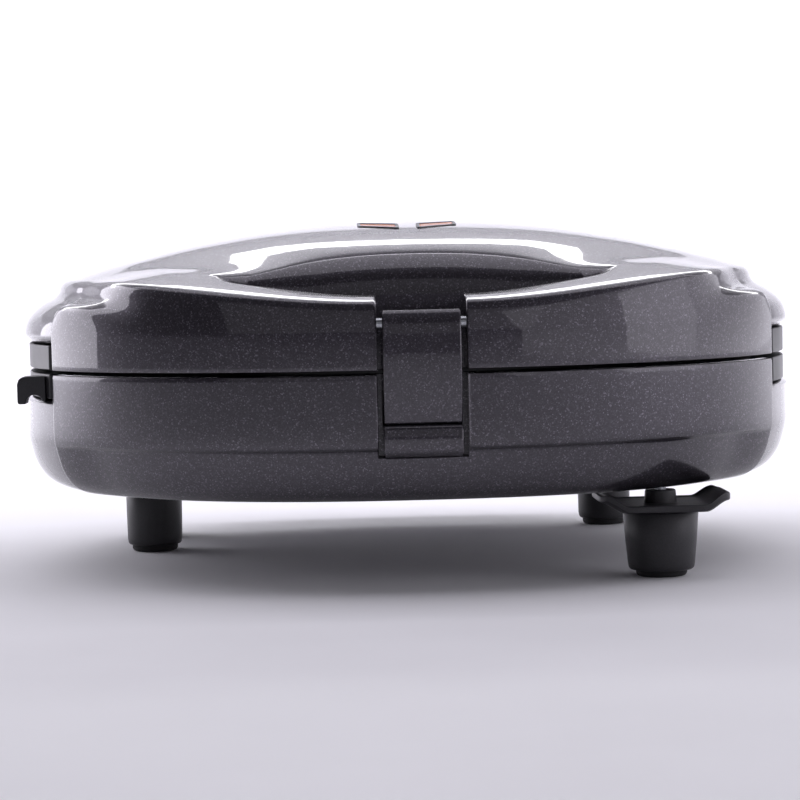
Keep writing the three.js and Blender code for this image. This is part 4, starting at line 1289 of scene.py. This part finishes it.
def make_bush():
    a, b = span("cord_bush")
    r = (b.z - a.z) / 2
    middle = Vector(((a.x + b.x) / 2, 0, (a.z + b.z) / 2))
    bore, neck, flange = 3.6, r - 2.6, 3
    inside = [(bore, a.y), (neck, a.y), (neck, b.y - flange), (r, b.y - flange)]
    lip = [(r, b.y - 0.8), (r - 2.2, b.y), (bore, b.y), (bore, a.y)]
    profile = rounded(inside + lip, 1)
    bm = bmesh.new()
    turned(bm, [*profile, profile[0]], steps=48, axis=(0, 1, 0), start=(0, 0, 1), at=middle)
    bmesh.ops.recalc_face_normals(bm, faces=bm.faces)
    finish_piece(bm, "cord_bush_ring", "base", RUBBER, ["cord_bush"], sharp=50)


make_bush()

# %% [markdown]
# ## Heaters
# Under each plate lies a loop of sheathed heater tube. A circle swept round the plate's centre,
# stopping short of a full turn, gives the loop, and both ends are inset and sunk for their pins.

# %% Heaters
TUBE_STARTS = math.radians(104)
TUBE_SWEEP = math.radians(332)


def make_heater(node, body):
    a, b = span(node)
    r = (b.z - a.z) / 2
    middle = Vector((0, PLATE_Y, (a.z + b.z) / 2))
    across = Vector((math.cos(TUBE_STARTS), math.sin(TUBE_STARTS), 0))
    first = middle + across * ((b.x - a.x) / 2 - r)
    steps = 16
    bm = bmesh.new()
    verts = []
    for k in range(steps):
        turn = k * math.tau / steps
        verts.append(bm.verts.new(first + across * r * math.cos(turn) + Vector((0, 0, r * math.sin(turn)))))
    cap = bm.faces.new(verts)
    bmesh.ops.spin(bm, geom=[cap], cent=middle, axis=(0, 0, 1), angle=TUBE_SWEEP, steps=110)
    bmesh.ops.remove_doubles(bm, verts=bm.verts, dist=MERGE)
    ends = [f for f in bm.faces if len(f.verts) > 4]
    bmesh.ops.inset_region(bm, faces=ends, thickness=0.7, depth=0)
    ends = [f for f in bm.faces if len(f.verts) > 4]
    bmesh.ops.inset_region(bm, faces=ends, thickness=0.1, depth=-1.4)
    bmesh.ops.recalc_face_normals(bm, faces=bm.faces)
    finish_piece(bm, node + "_tube", body, TUBE_STEEL, [node], sharp=40)


make_heater("lid_heater", "lid")
make_heater("base_heater", "base")

# %% [markdown]
# ## Pieces that keep their measured shape
# The shields, lamps, thermostat, fuse, spring and foot screws are already the right shape, and
# most are hidden inside. They keep it and only get their real finish.

# %% Finishes on measured pieces
KEPT = {
    "lid_heat_shield": SHEET,
    "base_heat_shield": SHEET,
    "lamp_board": BOARD,
    "power_lamp": GLASS,
    "ready_lamp": GLASS,
    "thermostat": CERAMIC,
    "terminal_block": CERAMIC,
    "thermal_fuse": ZINC,
    "latch_spring": ZINC,
    **{f"{foot}_foot_screw": ZINC for foot in FEET},
}
for node, material in KEPT.items():
    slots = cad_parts[node].data.materials
    slots.clear()
    slots.append(material)
print("measured pieces with a new finish:", len(KEPT))

# %% [markdown]
# ## Studio
# Gloss plastic shows what is around it, so the light is planned as reflections. A bright sweep
# behind makes the dome pale, one thin strip draws a white line across it, and soft boxes light
# both sides. Only dim cards stand on the camera's side, so the front stays dark. The floor and the
# sweep are plain and pale.

# %% Floor and sweep


def plain_paper():
    material, tree, surface, place = new_material("matt_white_paper", Roughness=0.9)
    fibre = add_node(
        tree,
        "ShaderNodeTexNoise",
        {"Vector": (place, "Object"), "Scale": per_mm(60), "Detail": 2.0},
    )
    tone = add_node(tree, "ShaderNodeValToRGB", {"Fac": (fibre, "Fac")})
    tone.color_ramp.elements[0].color = linear(0xEDEDEF)
    tone.color_ramp.elements[1].color = linear(0xF4F4F6)
    tree.links.new(tone.outputs["Color"], surface.inputs["Base Color"])
    return material


FLOOR_NEAR, FLOOR_FAR, SWEEP_R, WALL_TOP = -2.2, 1.3, 0.6, 2.4


def make_sweep():
    """Floor that curves up into a wall behind the object, in metres."""
    bm = bmesh.new()
    profile = [(FLOOR_NEAR, 0), (FLOOR_FAR, 0)]
    for k in range(1, 13):
        turn = math.radians(90 * k / 12)
        profile.append((FLOOR_FAR + SWEEP_R * math.sin(turn), SWEEP_R - SWEEP_R * math.cos(turn)))
    profile.append((FLOOR_FAR + SWEEP_R, WALL_TOP))
    verts = [bm.verts.new((-3, y, z)) for y, z in profile]
    edges = [bm.edges.new(pair) for pair in zip(verts, verts[1:])]
    made = bmesh.ops.extrude_edge_only(bm, edges=edges)
    bmesh.ops.translate(bm, vec=(6, 0, 0), verts=verts_of(made))
    bmesh.ops.recalc_face_normals(bm, faces=bm.faces)
    for face in bm.faces:
        face.smooth = True
        if face.normal.z < 0:
            face.normal_flip()
    mesh = bpy.data.meshes.new("studio_sweep")
    bm.to_mesh(mesh)
    bm.free()
    mesh.materials.append(plain_paper())
    sweep = bpy.data.objects.new("studio_sweep", mesh)
    bpy.context.scene.collection.objects.link(sweep)


make_sweep()

# %% Lights


def soft_box(name, place, target, width, height, power, color=0xFFFFFF):
    data = bpy.data.lights.new(name, "AREA")
    data.shape = "RECTANGLE"
    data.size = width
    data.size_y = height
    data.energy = power
    data.color = linear(color)[:3]
    lamp = bpy.data.objects.new(name, data)
    lamp.location = place
    lamp.rotation_euler = (Vector(target) - Vector(place)).to_track_quat("-Z", "Y").to_euler()
    bpy.context.scene.collection.objects.link(lamp)


middle = (0, 0, 0.06)
TENT = 0xF3F0FA
soft_box("tent_roof", (0, 0.1, 1.5), (0, 0.1, 0), 3.2, 1.3, 16, TENT)
soft_box("left_soft_box", (-1.3, 0.74, 0.56), (0, 0.34, 0.4), 1.3, 1.15, 15, TENT)
soft_box("right_soft_box", (1.45, 0.1, 0.5), (0, 0.1, 0.4), 2.6, 1.1, 12, TENT)
soft_box("right_front_card", (1.2, -1.0, 0.45), middle, 1.9, 1.1, 4.4, TENT)
soft_box("front_fill", (-0.3, -1.9, 0.8), middle, 2.6, 1.2, 2.6, TENT)
soft_box("top_strip", (0, 1.2, 0.8), middle, 2.6, 0.13, 6)
soft_box("sweep_wash", (0, 0.5, 1.1), (0, 1.8, 0.2), 2.6, 0.4, 24, TENT)

world = bpy.data.worlds.new("dim_room")
bpy.context.scene.world = world
world.use_nodes = True
world.node_tree.nodes["Background"].inputs["Color"].default_value = linear(0x6A686E)
world.node_tree.nodes["Background"].inputs["Strength"].default_value = 0.05
print("lights:", len(bpy.data.lights))

# %% [markdown]
# ## Camera
# A long lens stands at table height, a little to the left of straight ahead, level with the top of
# the lid. The view is turned by just over a degree, as a hand-placed shot is.

# %% Camera
LENS_MM = 117
STAND_OFF = 0.788
LENS_HEIGHT = 0.088
BEARING = math.radians(2.3)
AZIMUTH, PITCH, ROLL = math.radians(2.17), math.radians(3.08), math.radians(-1.3)
camera_data = bpy.data.cameras.new("camera")
camera_data.lens = LENS_MM
camera_data.sensor_width = 36
camera = bpy.data.objects.new("camera", camera_data)
camera_y = CENTRE_Y * MM - STAND_OFF * math.cos(BEARING)
camera.location = (-STAND_OFF * math.sin(BEARING), camera_y, LENS_HEIGHT)
level = Vector((math.sin(AZIMUTH), math.cos(AZIMUTH), 0))
aim = level * math.cos(PITCH) - Vector((0, 0, math.sin(PITCH)))
camera.rotation_mode = "QUATERNION"
camera.rotation_quaternion = aim.to_track_quat("-Z", "Y") @ Quaternion((0, 0, 1), ROLL)
bpy.context.scene.collection.objects.link(camera)
bpy.context.scene.camera = camera
bpy.context.scene.view_settings.view_transform = "Standard"
print("camera at", [round(c, 3) for c in camera.location])
